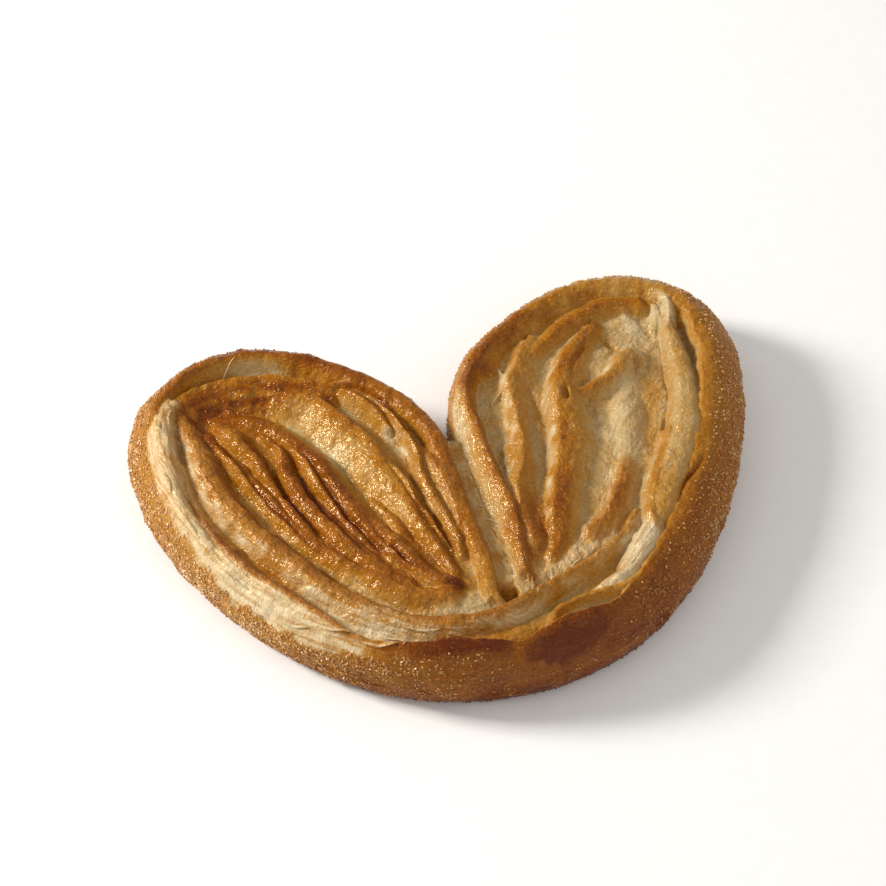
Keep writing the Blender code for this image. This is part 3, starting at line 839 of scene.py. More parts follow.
# (turn, value) round the outline. First the browning of the crust, then how much sugar it
# carries, how far in from the outline it reaches, and how square its shoulder is.
CRUST_BAKE = (
    (0.0, 0.52), (0.3, 0.46), (0.6, 0.5), (0.85, 0.68), (1.0, 0.80), (1.12, 0.82), (1.25, 0.80),
    (1.4, 0.72), (1.75, 0.58), (2.0, 0.52), (2.15, 0.48), (2.3, 0.5), (2.45, 0.54), (2.6, 0.45),
    (3.4, 0.45), (3.7, 0.78),
)
CRUST_SUGAR = (
    (0.0, 0.9), (0.6, 0.85), (0.78, 0.55), (0.9, 0.34), (1.0, 0.2), (1.15, 0.18), (1.3, 0.42),
    (1.45, 0.65), (2.1, 0.85), (2.4, 0.6), (2.6, 0.1), (3.4, 0.1), (3.7, 0.5), (3.9, 0.9),
)
CRUST_EDGE = (
    (0.0, 4.4), (0.1, 3.8), (0.2, 3.2), (0.27, 2.6), (0.33, 1.9), (0.39, 1.2), (0.45, 0.5),
    (0.66, 0.5), (0.70, 0.9), (0.76, 1.6), (0.85, 2.2), (0.92, 2.4), (0.975, 2.2), (0.992, 0.6),
    (1.04, 0.4), (1.07, 0.3), (1.10, 0.4), (1.144, 1.4), (1.172, 2.3), (1.21, 3.3), (1.236, 4.3),
    (1.28, 5.0), (1.36, 5.8), (1.45, 6.2), (1.95, 6.6), (2.1, 3.6), (2.5, 2.4), (2.7, 0.5),
    (3.4, 0.5), (3.7, 2.6), (3.9, 4.0),
)
SQUARENESS = ((2.4, 2.0), (2.62, 3.6), (3.4, 3.6), (3.6, 2.1), (3.9, 2.0), (4.0, 2.0))


# (size, height, first seed) of the wavers that bend, swell and lump each fold.
BENDS = ((5.5, 0.26, 40), (1.7, 0.13, 90))
SWELLS = ((6.0, 0.10, 140),)
LUMPS = ((4.6, 1.0, 190), (1.5, 0.35, 240))
TORN_SEED = 290  # first seed of the noise that tears the looks of the folds' sides
TORN_SIZE = 2.6  # its size along a fold
TORN_SQUEEZE = 2.2  # how much narrower it is across a fold
TURNED_DROP = 0.8  # drop by which a side has mostly taken on its own browning and glaze, with their painted light and shade
SHELTER = (0.6, -0.3)  # share of the glaze that the left-hand and the right-hand side lose, which also crowds the painted glints onto the side facing the lamp
FADE_POWER = 1.3  # how suddenly a side goes back to the ground's browning
PALE_FLAKE_AND_LIT_SIDE = 2.4  # flakiness, and with it a pale dry colour, of a side for each step that it is paler than its crest; partly painted light on the side facing the lamp
WEIGHT_RANGE = (-60, 12)  # limits of the powers, so that none overflows


@dataclass
class Relief:
    """The folds of the whole pastry as one surface.

    Attributes:
        outline: the outline of the pastry.
        folds: all folds, each with noise of its own by its number.
        grain: height of the fine unevenness on top of everything.
    """

    outline: Outline
    folds: tuple[Fold, ...] = RIM_FOLDS + LEFT_FOLDS + RIGHT_FOLDS
    grain: float = 0.17

    @staticmethod
    def ground(site: Site) -> Dough:
        """What lies between the folds: nearly level dough with soft rises, hollows and stains."""
        bake = FLOOR_BAKE + 0.06 * rough(site.plan, 6.0, 3, 9)
        height = FLOOR_HEIGHT + 0.35 * rough(site.plan, 9.0, 3, 5)
        none = np.zeros(len(site.plan))
        ground = Dough(height, bake, none + 0.1, none + 0.55, none)
        for patch in GROUND:
            patch.add_to(ground, site)
        return ground

    def shape(self, site: Site) -> Dough:
        """The surface at each site.

        Every fold offers a height, and a soft maximum takes the highest: heights become powers
        of e, are added up, and turn back into a height. The same powers weigh the browning,
        flakiness and glaze, so each fold brings its own looks with it.

        Args:
            site: places to work out.

        Returns:
            Height and looks at each place.
        """
        ground = self.ground(site)
        total = np.exp((ground.height - LEVEL) / BLEND)
        sums = np.stack([ground.bake, ground.flake, ground.gloss]) * total
        for number, fold in enumerate(self.folds):
            here, near = fold.find(site)
            side = near.side + wavers(near.along, BENDS, number)
            on_left = side > 0
            width = np.where(on_left, spread(fold.left, near.share), spread(fold.right, near.share))
            width = width * (1 + wavers(near.along, SWELLS, number))
            drop = (np.abs(side) / width) ** np.where(on_left, *fold.power)
            lump = wavers(near.along, LUMPS, number)
            height = spread(fold.crest, near.share) + fold.lumps * lump - drop
            weight = np.exp(np.clip((height - LEVEL) / BLEND, *WEIGHT_RANGE))
            # The sides' own browning paints the shade of the side turned from the lamp, and their paleness
            # the light of the side facing it, along with real browning; a paler side is also made flakier,
            # which paints it paler still.
            turned = 1 - np.exp(-drop / TURNED_DROP)
            slope = np.where(on_left, fold.under, fold.over) * turned
            place = np.stack([near.along, TORN_SQUEEZE * side], axis=-1)
            torn = noise(place, TORN_SIZE, TORN_SEED + number)
            slope = slope * (0.7 + 0.8 * torn)
            keeps = np.exp(-((drop / np.where(on_left, *fold.fade)) ** FADE_POWER))
            bake = ground.bake[here] * (1 - keeps) + (spread(fold.bake, near.share) + slope) * keeps
            total[here] += weight
            sums[0, here] += weight * bake
            sums[1, here] += weight * (fold.flake + PALE_FLAKE_AND_LIT_SIDE * np.maximum(-slope, 0) * keeps)
            sheltered = np.where(on_left, *SHELTER) * turned
            sums[2, here] += weight * fold.gloss * (1 - sheltered)
        dough = Dough(LEVEL + BLEND * np.log(total), *(sums / total), ground.sugar)
        for patch in PATCHES:
            patch.add_to(dough, site)
        for crease in CREASES:
            crease.press(dough, site)
        dough.flake, dough.gloss = dough.flake.clip(0, 1), dough.gloss.clip(0, 1)
        dough.height += self.layers(site, dough.flake) + self.grain * rough(site.plan, 1.5, 3, 23)
        return dough

    @staticmethod
    def layers(site: Site, flake: Floats) -> Floats:
        """Torn fibres of layered dough: noise drawn out along the outline, where it is flaky."""
        length, times_thinner, height = 4.5, 8.0, 0.20
        place = np.stack([site.turn * MILLIMETRES_A_TURN, site.inset * times_thinner], axis=-1)
        bent = place + 2.5 * rough(site.plan, 4.0, 2, 61)[:, None] * (0.0, 1.0)
        return height * flake * rough(bent, length, 2, 67)

    def surface(self, plan: Floats, turn: Floats, inset: Floats) -> tuple[Floats, Dough]:
        """Points of the upper surface, rounded down to the widest level near the outline.

        Within the shoulder's width the rise follows a quarter of an ellipse, squarer along the
        seam, so that the surface stands upright at the outline and is level at the crest. Near
        the outline the crust's own browning and sugar take over from the folds'.

        Args:
            plan: places on the plan.
            turn: turn of the outline nearest to each place.
            inset: distance in from the outline.

        Returns:
            Points in millimetres, and the looks at each.
        """
        dough = self.shape(Site(plan, turn, inset))
        square = round_trip(SQUARENESS, turn)
        off_crest = 1 - np.clip(inset / round_trip(SHOULDER, turn), 0, 1)
        rise = (1 - off_crest**square) ** (1 / square)
        height = EQUATOR_HEIGHT + (dough.height - EQUATOR_HEIGHT) * rise
        edge = round_trip(CRUST_EDGE, turn)
        crust = 1 - smooth_step(inset + 0.35 * rough(plan, 2.5, 3, 77), 0.6 * edge, 1.15 * edge)
        dough.bake += crust * (round_trip(CRUST_BAKE, turn) - dough.bake)
        dough.gloss *= 1 - 0.7 * crust
        dough.flake *= 1 - 0.8 * crust
        dough.sugar = crust * round_trip(CRUST_SUGAR, turn)
        return np.column_stack([plan, height]), dough


# ---- making meshes


def grid_faces(rows: int, columns: int, closed: bool = False) -> Ints:
    """Quads between neighbouring points of a grid, numbered along its rows.

    Args:
        rows: number of rows.
        columns: points in a row.
        closed: joins the last row to the first, and the last column to the first.

    Returns:
        Four point numbers for each quad.
    """
    numbers = np.arange(rows * columns).reshape(rows, columns)
    if closed:
        numbers = np.pad(numbers, ((0, 1), (0, 1)), mode="wrap")
    corners = (numbers[:-1, :-1], numbers[1:, :-1], numbers[1:, 1:], numbers[:-1, 1:])
    return np.stack(corners, axis=-1).reshape(-1, 4)


@dataclass
class Skin:
    """Points of a piece's surface and what its material reads from them."""

    points: Floats  # places in millimetres, before the plan is centred
    flow: Floats  # distance along the folds and across them, in millimetres
    looks: dict[str, Floats]  # named values, about 0 to 1, one for each point

    @staticmethod
    def joined(skins: list[Skin]) -> Skin:
        """Several skins as one, with their points in order."""
        names = skins[0].looks
        return Skin(
            np.concatenate([skin.points for skin in skins]),
            np.concatenate([skin.flow for skin in skins]),
            {name: np.concatenate([skin.looks[name] for skin in skins]) for name in names},
        )


def put_in_scene(name: str, data: bpy.types.ID) -> Piece:
    """A new object at the origin, with the given mesh, lamp or camera."""
    obj = bpy.data.objects.new(name, data)
    bpy.context.scene.collection.objects.link(obj)
    return obj


@dataclass
class Maker:
    """Turns skins into pieces that ride with the pastry."""

    centre: Floats  # the plan point that the part's origin lies under

    def piece(
        self,
        name: str,
        skin: Skin,
        faces: list[list[int]],
        material: Material,
        slot: str,
        smooth: bool = True,
    ) -> Piece:
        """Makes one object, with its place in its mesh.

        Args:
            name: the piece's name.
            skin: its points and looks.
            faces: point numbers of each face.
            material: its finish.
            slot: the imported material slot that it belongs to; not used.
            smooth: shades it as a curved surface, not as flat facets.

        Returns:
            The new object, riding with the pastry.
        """
        points = skin.points.copy()
        points[:, :2] -= self.centre
        points[:, 2] = np.maximum(points[:, 2], 0.0)
        mesh = bpy.data.meshes.new(name)
        mesh.from_pydata(points * MM, [], faces)
        for look, values in skin.looks.items():
            layer = mesh.attributes.new(look, "FLOAT", "POINT")
            layer.data.foreach_set("value", values.astype(np.float32))
        corners = np.empty(len(mesh.loops), dtype=np.int32)
        mesh.loops.foreach_get("vertex_index", corners)
        flow = mesh.uv_layers.new(name="flow")
        flow.data.foreach_set("uv", (skin.flow[corners] * MM).astype(np.float32).ravel())
        self.face_outwards(mesh)
        mesh.materials.append(material)
        if smooth:
            mesh.shade_smooth()
        obj = put_in_scene(name, mesh)
        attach(obj, "root")
        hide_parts(NODE)
        LOG.info("%s: %d points, %d faces", name, len(mesh.vertices), len(mesh.polygons))
        return obj

    @staticmethod
    def face_outwards(mesh: bpy.types.Mesh) -> None:
        """Turns every face to the outside, where the volume is positive, and tells of open edges."""
        solid = bmesh.new()
        solid.from_mesh(mesh)
        bmesh.ops.recalc_face_normals(solid, faces=solid.faces)
        if solid.calc_volume(signed=True) < 0:  # a thin, hollowed slab can come out inside out
            bmesh.ops.reverse_faces(solid, faces=solid.faces)
        open_edges = sum(not edge.is_manifold for edge in solid.edges)
        if open_edges:
            LOG.warning("%s has %d open edges", mesh.name, open_edges)
        solid.to_mesh(mesh)
        solid.free()


# ---- the dough pieces


HEM_DIPS = (0.06, 0.26, 0.7)  # how far each hem row lies under the neighbouring piece
HEM_STEP = 0.3  # width of a hem row
CORE_LEVEL = 1.0  # level of the hidden bottoms, inside the underside's slab
UNDERSIDE_TOP = 1.6  # level of the underside's hidden face
LOOKS = ("bake", "flake", "gloss", "sugar")


def looks_of(dough: Dough) -> dict[str, Floats]:
    """The looks that are stored on the mesh."""
    return {name: np.clip(getattr(dough, name), -0.3, 1.3) for name in LOOKS}


@dataclass
class Rim:
    """The crust: a closed ring of dough carried round the whole outline.

    Its section starts under the pastry, climbs the wall to the widest level, rounds the shoulder
    and goes in over the crest. A hem then dips under the leaves and the ring closes inside.
    """

    outline: Outline
    relief: Relief
    wall_rows: int = 18  # points up the wall
    shoulder_rows: int = 28  # points over the shoulder
    top_rows: int = 12  # points from the crest to the hem
    lumps: float = 0.42  # height of the wall's broad lumps, in millimetres
    grit: float = 0.13  # height of its fine ones
    layers: float = 0.16  # height of its baked layers
    scorch: float = 0.28  # extra browning at its bottom
    foot: float = 0.8  # how far the wall's bottom edge turns in under the pastry

    def stand_out(self, along: Floats, height: Floats, tuck: Floats) -> Floats:
        """How far lumps and baked layers stand out of the wall, in millimetres.

        Args:
            along: distance round the outline.
            height: level on the wall, which fades them out towards the ground.
            tuck: the wall's tuck, which is small where two walls face each other.

        Returns:
            Distances outwards.
        """
        place = np.stack([along, height], axis=-1)
        lumps = self.lumps * rough(place, 6.0, 3, 401) + self.grit * rough(place, 0.9, 2, 405)
        bend = height * 3.1 + 3 * noise(place, 14.0, 411)
        layers = self.layers * np.sin(bend) * (0.5 + noise(place, 9.0, 413))
        free = (tuck - 0.3) / 2.3
        return (lumps + layers) * free * np.sin(np.pi * np.clip(height / 11.0, 0, 0.5))

    def wall(self) -> Skin:
        """The wall below the widest level: a quarter of an ellipse that tucks under."""
        shape = (self.outline.count, self.wall_rows)
        angle = np.radians(np.linspace(90, 0, self.wall_rows, endpoint=False))[None, :]
        turn = np.broadcast_to(self.outline.turn[:, None], shape)
        along = np.broadcast_to(self.outline.along[:, None], shape)
        height = np.broadcast_to(EQUATOR_HEIGHT * (1 - np.sin(angle)) + 0.05, shape)
        tuck = round_trip(WALL_TUCK, turn)
        inset = tuck * (1 - np.cos(angle)) - self.stand_out(along, height, tuck)
        plan = self.outline.points[:, None] + self.outline.inward[:, None] * inset[..., None]
        place = np.stack([along, height], axis=-1)
        bake = round_trip(CRUST_BAKE, turn) + 0.10 * rough(place, 5.0, 3, 421)
        bake += self.scorch * (1 - height / EQUATOR_HEIGHT) ** 2
        sugar = round_trip(CRUST_SUGAR, turn) * (1 - 0.25 * rough(place, 3.0, 2, 431))
        none = np.zeros(shape)
        looks = {"bake": bake, "flake": none, "gloss": none + 0.2, "sugar": sugar}
        flow = np.stack([along, height - EQUATOR_HEIGHT], axis=-1)
        return Skin(np.dstack([plan, height]), flow, looks)

    def upper(self) -> Skin:
        """Shoulder, crest and hem, in rows that crowd together where the shoulder is steep."""
        shoulder = np.linspace(0, 1, self.shoulder_rows) ** 1.3
        top = np.linspace(0, 1, self.top_rows + 1)[1:]
        turn = self.outline.turn[:, None]
        width, reach = round_trip(SHOULDER, turn), self.outline.reach(turn)
        hem = HEM_STEP * np.arange(1, len(HEM_DIPS) + 1)
        inset = np.hstack([width * shoulder, width + (reach - width) * top, reach + hem])
        dips = np.concatenate([np.zeros(self.shoulder_rows + self.top_rows), HEM_DIPS])
        turn = np.broadcast_to(turn, inset.shape)
        along = np.broadcast_to(self.outline.along[:, None], inset.shape)
        plan = self.outline.points[:, None] + self.outline.inward[:, None] * inset[..., None]
        points, dough = self.relief.surface(plan.reshape(-1, 2), turn.ravel(), inset.ravel())
        points = points.reshape(*inset.shape, 3)
        points[..., 2] -= dips
        out = self.stand_out(along, points[..., 2], round_trip(WALL_TUCK, turn)) * np.exp(-inset / 1.6)
        points[..., :2] -= self.outline.inward[:, None] * out[..., None]
        looks = {name: look.reshape(inset.shape) for name, look in looks_of(dough).items()}
        return Skin(points, np.stack([along, inset * 1.6], axis=-1), looks)

    def ring(self) -> tuple[Skin, tuple[int, int]]:
        """Joins the wall, the upper rows and the two hidden rows into one closed ring.

        Returns:
            Its skin, and the numbers of points round it and across it.
        """
        wall, upper = self.wall(), self.upper()

        def closed(low: Floats, high: Floats) -> Floats:
            """Both sets of rows, with the first and the last repeated for the hidden rows."""
            return np.concatenate([low[:, :1], low, high, high[:, -1:]], axis=1)

        points = closed(wall.points, upper.points)
        points[:, 0, :2] += self.outline.inward * self.foot
        points[:, (0, -1), 2] = CORE_LEVEL
        flow = closed(wall.flow, upper.flow).reshape(-1, 2)
        looks = {name: closed(wall.looks[name], upper.looks[name]).ravel() for name in LOOKS}
        return Skin(points.reshape(-1, 3), flow, looks), points.shape[:2]

    def build(self, maker: Maker, material: Material) -> Skin:
        """Makes the ring, and hands back its skin for what lies on it."""
        skin, shape = self.ring()
        maker.piece("rim", skin, grid_faces(*shape, closed=True).tolist(), material, CRUST_SLOT)
        return skin


# Corners round each side of a box, numbered by X, then Y, then Z.
BOX_SIDES = np.array(
    [(0, 1, 3, 2), (4, 6, 7, 5), (0, 4, 5, 1), (2, 3, 7, 6), (0, 2, 6, 4), (1, 5, 7, 3)]
)


@dataclass
class SugarGrains:
    """Sugar crystals baked onto the crust: small boxes, each turned at random and sunk in."""

    count: int = 14500  # number of crystals
    sizes: Point = (0.20, 0.42)  # smallest and largest crystal in millimetres
    squeeze: float = 0.65  # least share of its size that a side has
    stand: float = 0.2  # how far a crystal's middle stands out, as a share of its half-width
    shades: Point = (-0.34, 0.16)  # range of the crystals' own browning
    seed: int = 17  # starts the random draws

    def turned(self, draw: np.random.Generator) -> Floats:
        """Corners of unequal small boxes, turned by random unit quaternions, round the origin."""
        size = draw.uniform(*self.sizes, (self.count, 1, 1))
        sides = size * draw.uniform(self.squeeze, 1, (self.count, 1, 3))
        signs = np.array([(x, y, z) for x in (-1, 1) for y in (-1, 1) for z in (-1, 1)]) / 2
        w, x, y, z = (q := draw.normal(size=(4, self.count))) / np.linalg.norm(q, axis=0)
        rows = (
            (1 - 2 * (y * y + z * z), 2 * (x * y - z * w), 2 * (x * z + y * w)),
            (2 * (x * y + z * w), 1 - 2 * (x * x + z * z), 2 * (y * z - x * w)),
            (2 * (x * z - y * w), 2 * (y * z + x * w), 1 - 2 * (x * x + y * y)),
        )
        turns = np.array(rows).transpose(2, 0, 1)
        return np.einsum("nij,nkj->nki", turns, signs * sides)

    def build(self, maker: Maker, ground: Skin, rows: int, material: Material) -> Piece:
        """Scatters the crystals where the crust is sugared.

        Each crystal picks a quad with a chance that grows with its area, its sugar and a noise
        that crowds them, then a random place inside it.

        Args:
            maker: makes the piece.
            ground: the rim's skin.
            rows: points across the rim's section.
            material: the crystals' finish.

        Returns:
            The one piece that holds all crystals.
        """
        draw = np.random.default_rng(self.seed)
        points = ground.points.reshape(-1, rows, 3)
        seen = slice(1, -4)  # leaves out the hidden rows and the hem
        corner = points[:, seen]
        along = np.roll(points, -1, axis=0)[:, seen] - corner
        across = points[:, 2:-3] - corner
        normal = np.cross(along, across)
        normal *= np.sign(normal[:, -1, 2].mean())
        area = np.linalg.norm(normal, axis=2)
        here = {name: ground.looks[name].reshape(-1, rows)[:, seen].ravel() for name in LOOKS}
        crowd = 0.35 + smooth_step(rough(corner[..., :2] + corner[..., 2:], 2.6, 2, 541), -0.3, 0.7)
        chance = area.ravel() * here["sugar"].clip(0, 1) ** 1.5 * crowd.ravel()
        pick = draw.choice(chance.size, self.count, p=chance / chance.sum())
        u, v = draw.uniform(size=(2, self.count, 1))
        corner, along, across, normal = (
            quads.reshape(-1, 3)[pick] for quads in (corner, along, across, normal)
        )
        place = corner + u * along + v * across
        out = normal / area.ravel()[pick, None]
        boxes = self.turned(draw)
        place += out * np.abs(boxes).max(axis=(1, 2))[:, None] * self.stand
        corners = (place[:, None] + boxes).reshape(-1, 3)
        looks = {name: values[pick] for name, values in here.items()}
        looks["bake"] += draw.uniform(*self.shades, self.count)
        looks = {name: np.repeat(values, boxes.shape[1]) for name, values in looks.items()}
        faces = (np.arange(self.count)[:, None, None] * boxes.shape[1] + BOX_SIDES).reshape(-1, 4)
        skin = Skin(corners, corners[:, :2], looks)
        return maker.piece("sugar_grains", skin, faces.tolist(), material, SUGAR_SLOT, smooth=False)


@dataclass(frozen=True)
class Shred:
    """A torn strip or stretched strand of dough that lies on the surface and lifts off it."""

    path: tuple[Point, ...]  # points that it runs through on the plan
    width: float  # its width in the middle
    thickness: float = 0.22  # its thickness in the middle
    lift: float = 0.25  # height of its middle above the surface


SHREDS: tuple[Shred, ...] = (
    # Torn flakes in the middle of the right lobe.
    Shred(((26.4, -10.6), (27.0, -7.8), (28.2, -4.2)), 1.0, thickness=0.18, lift=0.06),
    Shred(((22.8, -14.6), (24.2, -12.6), (25.4, -10.6)), 1.0, thickness=0.18, lift=0.2),
    # Strands drawn across the seam.
    Shred(((-1.2, -4.4), (0.6, -6.6), (3.0, -6.9)), 0.2, thickness=0.16, lift=0.5),
    Shred(((-0.6, -10.2), (1.8, -10.6), (3.8, -12.8)), 0.2, thickness=0.16, lift=0.5),
    # Ragged ends above the gold fold below the right lobe.
    Shred(((4.6, -30.0), (5.4, -28.6), (5.6, -26.6)), 0.7, lift=0.4),
    Shred(((8.6, -28.6), (9.6, -27.2), (9.6, -25.6)), 0.8, lift=0.3),
    Shred(((13.6, -26.6), (14.4, -25.6), (16.4, -24.4)), 0.6, lift=0.3),
    # Torn loop and splinters of the pale lip and the layered slope.
    Shred(((-57.2, 14.6), (-56.2, 12.2), (-56.4, 9.0)), 0.7, lift=0.3),
    Shred(((-55.2, 3.4), (-54.4, 0.6), (-53.4, -2.6)), 0.6, lift=0.3),
    Shred(((-51.2, -8.6), (-49.4, -12.2), (-46.8, -15.6)), 0.8, lift=0.3),
    Shred(((-43.6, -21.6), (-41.0, -24.6), (-37.8, -27.0)), 1.1, thickness=0.18, lift=0.2),
    Shred(((-36.6, -27.4), (-33.4, -30.0), (-30.0, -31.4)), 1.1, thickness=0.18, lift=0.2),
    Shred(((-29.6, -33.4), (-26.4, -35.6), (-22.8, -36.6)), 1.0, thickness=0.18, lift=0.2),
    Shred(((-24.8, -33.4), (-22.0, -34.4), (-20.6, -36.4), (-22.6, -37.4)), 0.7, lift=0.4),
    Shred(((-20.4, -33.0), (-17.4, -34.6), (-14.6, -35.0)), 0.5, lift=0.25),
    # Strand across the pale lens behind the left lobe.
    Shred(((-41.4, 35.6), (-39.2, 37.4), (-36.6, 39.2)), 0.4, lift=0.5),
)


@dataclass
class Shreds:
    """All torn strips and strands as one piece of closed, pointed tubes."""

    outline: Outline
    relief: Relief
    steps: int = 22  # rings along one strip
    sides: int = 8  # points round one ring
    paler: float = 0.6  # share of the browning below that a strip keeps
    flake: float = 0.7  # how dry and layered a strip is

    def tube(self, shred: Shred, seed: int) -> Skin:
        """The rings of one strip: flat ovals that follow the path and taper to points.

        Args:
            shred: the strip.
            seed: starts its unevenness.

        Returns:
            Its skin, ring after ring.
        """
        line = evenly(open_spline(shred.path), self.steps)
        turn, inset = self.outline.locate(line)
        ground, dough = self.relief.surface(line, turn, inset)
        share = np.linspace(0, 1, self.steps)
        swell = np.sqrt(np.sin(np.pi * share).clip(0.004, 1)) * (1 + 0.3 * waver(share * 9, 2.0, seed))
        ahead = np.gradient(line, axis=0)
        ahead /= np.linalg.norm(ahead, axis=1, keepdims=True)
        beside = np.column_stack([-ahead[:, 1], ahead[:, 0], 0.5 * waver(share * 6, 2.0, seed + 1)])
        middle = ground + np.array([0.0, 0.0, 1.0]) * (shred.lift * np.sin(np.pi * share))[:, None]
        angle = np.arange(self.sides) * 2 * np.pi / self.sides
        flat = beside[:, None] * (np.cos(angle)[:, None] * swell[:, None, None]) * shred.width / 2
        thick = np.sin(angle)[:, None] * swell[:, None, None] * (0.0, 0.0, shred.thickness / 2)
        rings = middle[:, None] + flat + thick
        looks = {name: np.repeat(value, self.sides) for name, value in looks_of(dough).items()}
        looks["bake"] *= self.paler
        looks["flake"][:] = self.flake
        return Skin(rings.reshape(-1, 3), flow_of(rings[..., :2]).reshape(-1, 2), looks)

    def build(self, maker: Maker, material: Material) -> Piece:
        """Makes every tube, closes both ends and joins them."""
        skins = [self.tube(shred, 700 + 3 * number) for number, shred in enumerate(SHREDS)]
        size = self.steps * self.sides
        ends = [list(range(self.sides))[::-1], list(range(size - self.sides, size))]
        around = np.arange(size).reshape(self.steps, self.sides)
        turned = np.roll(around, -1, axis=1)
        quads = np.stack([around[:-1], turned[:-1], turned[1:], around[1:]], axis=-1).reshape(-1, 4)
        one = quads.tolist() + ends
        first = [size * number for number in range(len(skins))]
        faces = [[corner + start for corner in face] for start in first for face in one]
        return maker.piece("torn_flakes", Skin.joined(skins), faces, material, CRUST_SLOT)


class Lobe(Enum):
    """The two lobes: the turn at the tip, and the way that turns run from there to the base."""

    LEFT = (0.0, 1)
    RIGHT = (2.0, -1)


@dataclass
class LobePlan:
    """A grid stretched over one lobe on the plan, between curves inside the outline.

    Two sides run from the lobe's tip, one down its outside to the base and one down the seam to
    its foot. A short edge closes it round the tip, and a straight bridge at the other end.
    """

    lobe: Lobe  # which lobe
    outline: Outline
    inset: Callable[[Floats], Floats]  # gives the distance in from the outline at each turn
    length_steps: int  # points along the lobe
    width_steps: int  # points across it
    tip_share: float = 0.07  # part of a run, on each side of the tip, that belongs to the short edge

    def edge(self, start: float, end: float, count: int) -> Floats:
        """Points spread evenly from one turn to another, counted from the tip towards the base."""
        tip, way = self.lobe.value
        turn = tip + way * np.linspace(start, end, 400)
        return evenly(self.outline.inset_at(turn, self.inset(turn)), count)

    def grid(self) -> Floats:
        """The blend of the long edges plus that of the short ones, less that of the corners.

        Returns:
            Places with the steps along the lobe first and those across it second.
        """
        outer = self.edge(self.tip_share, 1, self.length_steps)
        inner = self.edge(-self.tip_share, -1, self.length_steps)
        tip = self.edge(self.tip_share, -self.tip_share, self.width_steps)
        v = np.linspace(0, 1, self.width_steps)[None, :, None]
        u = np.linspace(0, 1, self.length_steps)[:, None, None]
        bridge = outer[-1] * (1 - v[0]) + inner[-1] * v[0]
        start = outer[0] * (1 - v) + inner[0] * v
        end = outer[-1] * (1 - v) + inner[-1] * v
        sides = outer[:, None] * (1 - v) + inner[:, None] * v
        return sides + tip * (1 - u) + bridge * u - (1 - u) * start - u * end


def flow_of(plan: Floats) -> Floats:
    """Distance along the middle line of a grid, and its mean width shared out over the lines.

    A pattern drawn out along the first value therefore follows the lines of the grid, and closes
    up where they do.
    """
    middle = plan.shape[1] // 2
    along = np.repeat(lengths_along(plan[:, middle])[:, None], plan.shape[1], axis=1)
    steps = np.linalg.norm(np.diff(plan, axis=1, prepend=plan[:, :1]), axis=2).mean(axis=0)
    return np.stack([along, np.broadcast_to(np.cumsum(steps), along.shape)], axis=-1)


def closed_patch(skin: Skin, rows: int, columns: int, level: float) -> tuple[Skin, list[list[int]]]:
    """Closes a grid with walls down or up to a level, and a hidden face there.

    The long edges get a copy at the level. Quads join each edge to its copy and the copies to
    each other, and one face closes each short end.

    Args:
        skin: the grid's points, row by row.
        rows: its rows.
        columns: its columns.
        level: height of the hidden face.

    Returns:
        The skin with the copies added, and the point numbers of all faces.
    """
    numbers = np.arange(rows * columns).reshape(rows, columns)
    edges = np.concatenate([numbers[:, 0], numbers[:, -1]])
    copy = Skin(skin.points[edges], skin.flow[edges], {k: v[edges] for k, v in skin.looks.items()})
    copy.points[:, 2] = level
    near = rows * columns + np.arange(rows)
    far = near + rows
    sides = [
        np.stack([numbers[:-1, 0], numbers[1:, 0], near[1:], near[:-1]], axis=-1),
        np.stack([numbers[:-1, -1], numbers[1:, -1], far[1:], far[:-1]], axis=-1),
        np.stack([near[:-1], near[1:], far[1:], far[:-1]], axis=-1),
    ]
    faces = grid_faces(rows, columns).tolist() + np.concatenate(sides).tolist()
    faces += [[*numbers[end].tolist(), int(far[end]), int(near[end])] for end in (0, -1)]
    return Skin.joined([skin, copy]), faces


@dataclass
class Leaf:
    """The folded dough of one lobe, inside its rim, with a hem that dips under the rim."""

    lobe: Lobe
    outline: Outline
    relief: Relief
    length_steps: int = 424
    width_steps: int = 222

    @staticmethod
    def hemmed(plan: Floats) -> tuple[Floats, Floats]:
        """Adds the hem rows all round a grid, each a step further out.

        Args:
            plan: the patch's grid.

        Returns:
            The larger grid, and how far each of its points dips.
        """
        steps = np.arange(1, len(HEM_DIPS) + 1)[:, None, None] * HEM_STEP
        fall = np.array(HEM_DIPS)[:, None]
        dips = np.zeros(plan.shape[:2])
        for _ in range(2):
            first = (plan[0] - plan[1]) / np.linalg.norm(plan[0] - plan[1], axis=-1)[:, None]
            last = (plan[-1] - plan[-2]) / np.linalg.norm(plan[-1] - plan[-2], axis=-1)[:, None]
            plan = np.vstack([(plan[0] + first * steps)[::-1], plan, plan[-1] + last * steps])
            dips = np.vstack([np.maximum(dips[0], fall)[::-1], dips, np.maximum(dips[-1], fall)])
            plan, dips = plan.transpose(1, 0, 2), dips.T
        return plan, dips

    def build(self, maker: Maker, material: Material) -> Piece:
        """Shapes the patch, and closes it below with side walls and a hidden bottom."""
        lobe_plan = LobePlan(
            self.lobe, self.outline, self.outline.reach, self.length_steps, self.width_steps
        )
        plan, dips = self.hemmed(lobe_plan.grid())
        turn, inset = self.outline.locate(plan.reshape(-1, 2))
        points, dough = self.relief.surface(plan.reshape(-1, 2), turn, inset)
        points[:, 2] -= dips.ravel()
        skin = Skin(points, flow_of(plan).reshape(-1, 2), looks_of(dough))
        name = f"{self.lobe.name.lower()}_leaf"
        return maker.piece(name, *closed_patch(skin, *dips.shape, CORE_LEVEL), material, CRUST_SLOT)


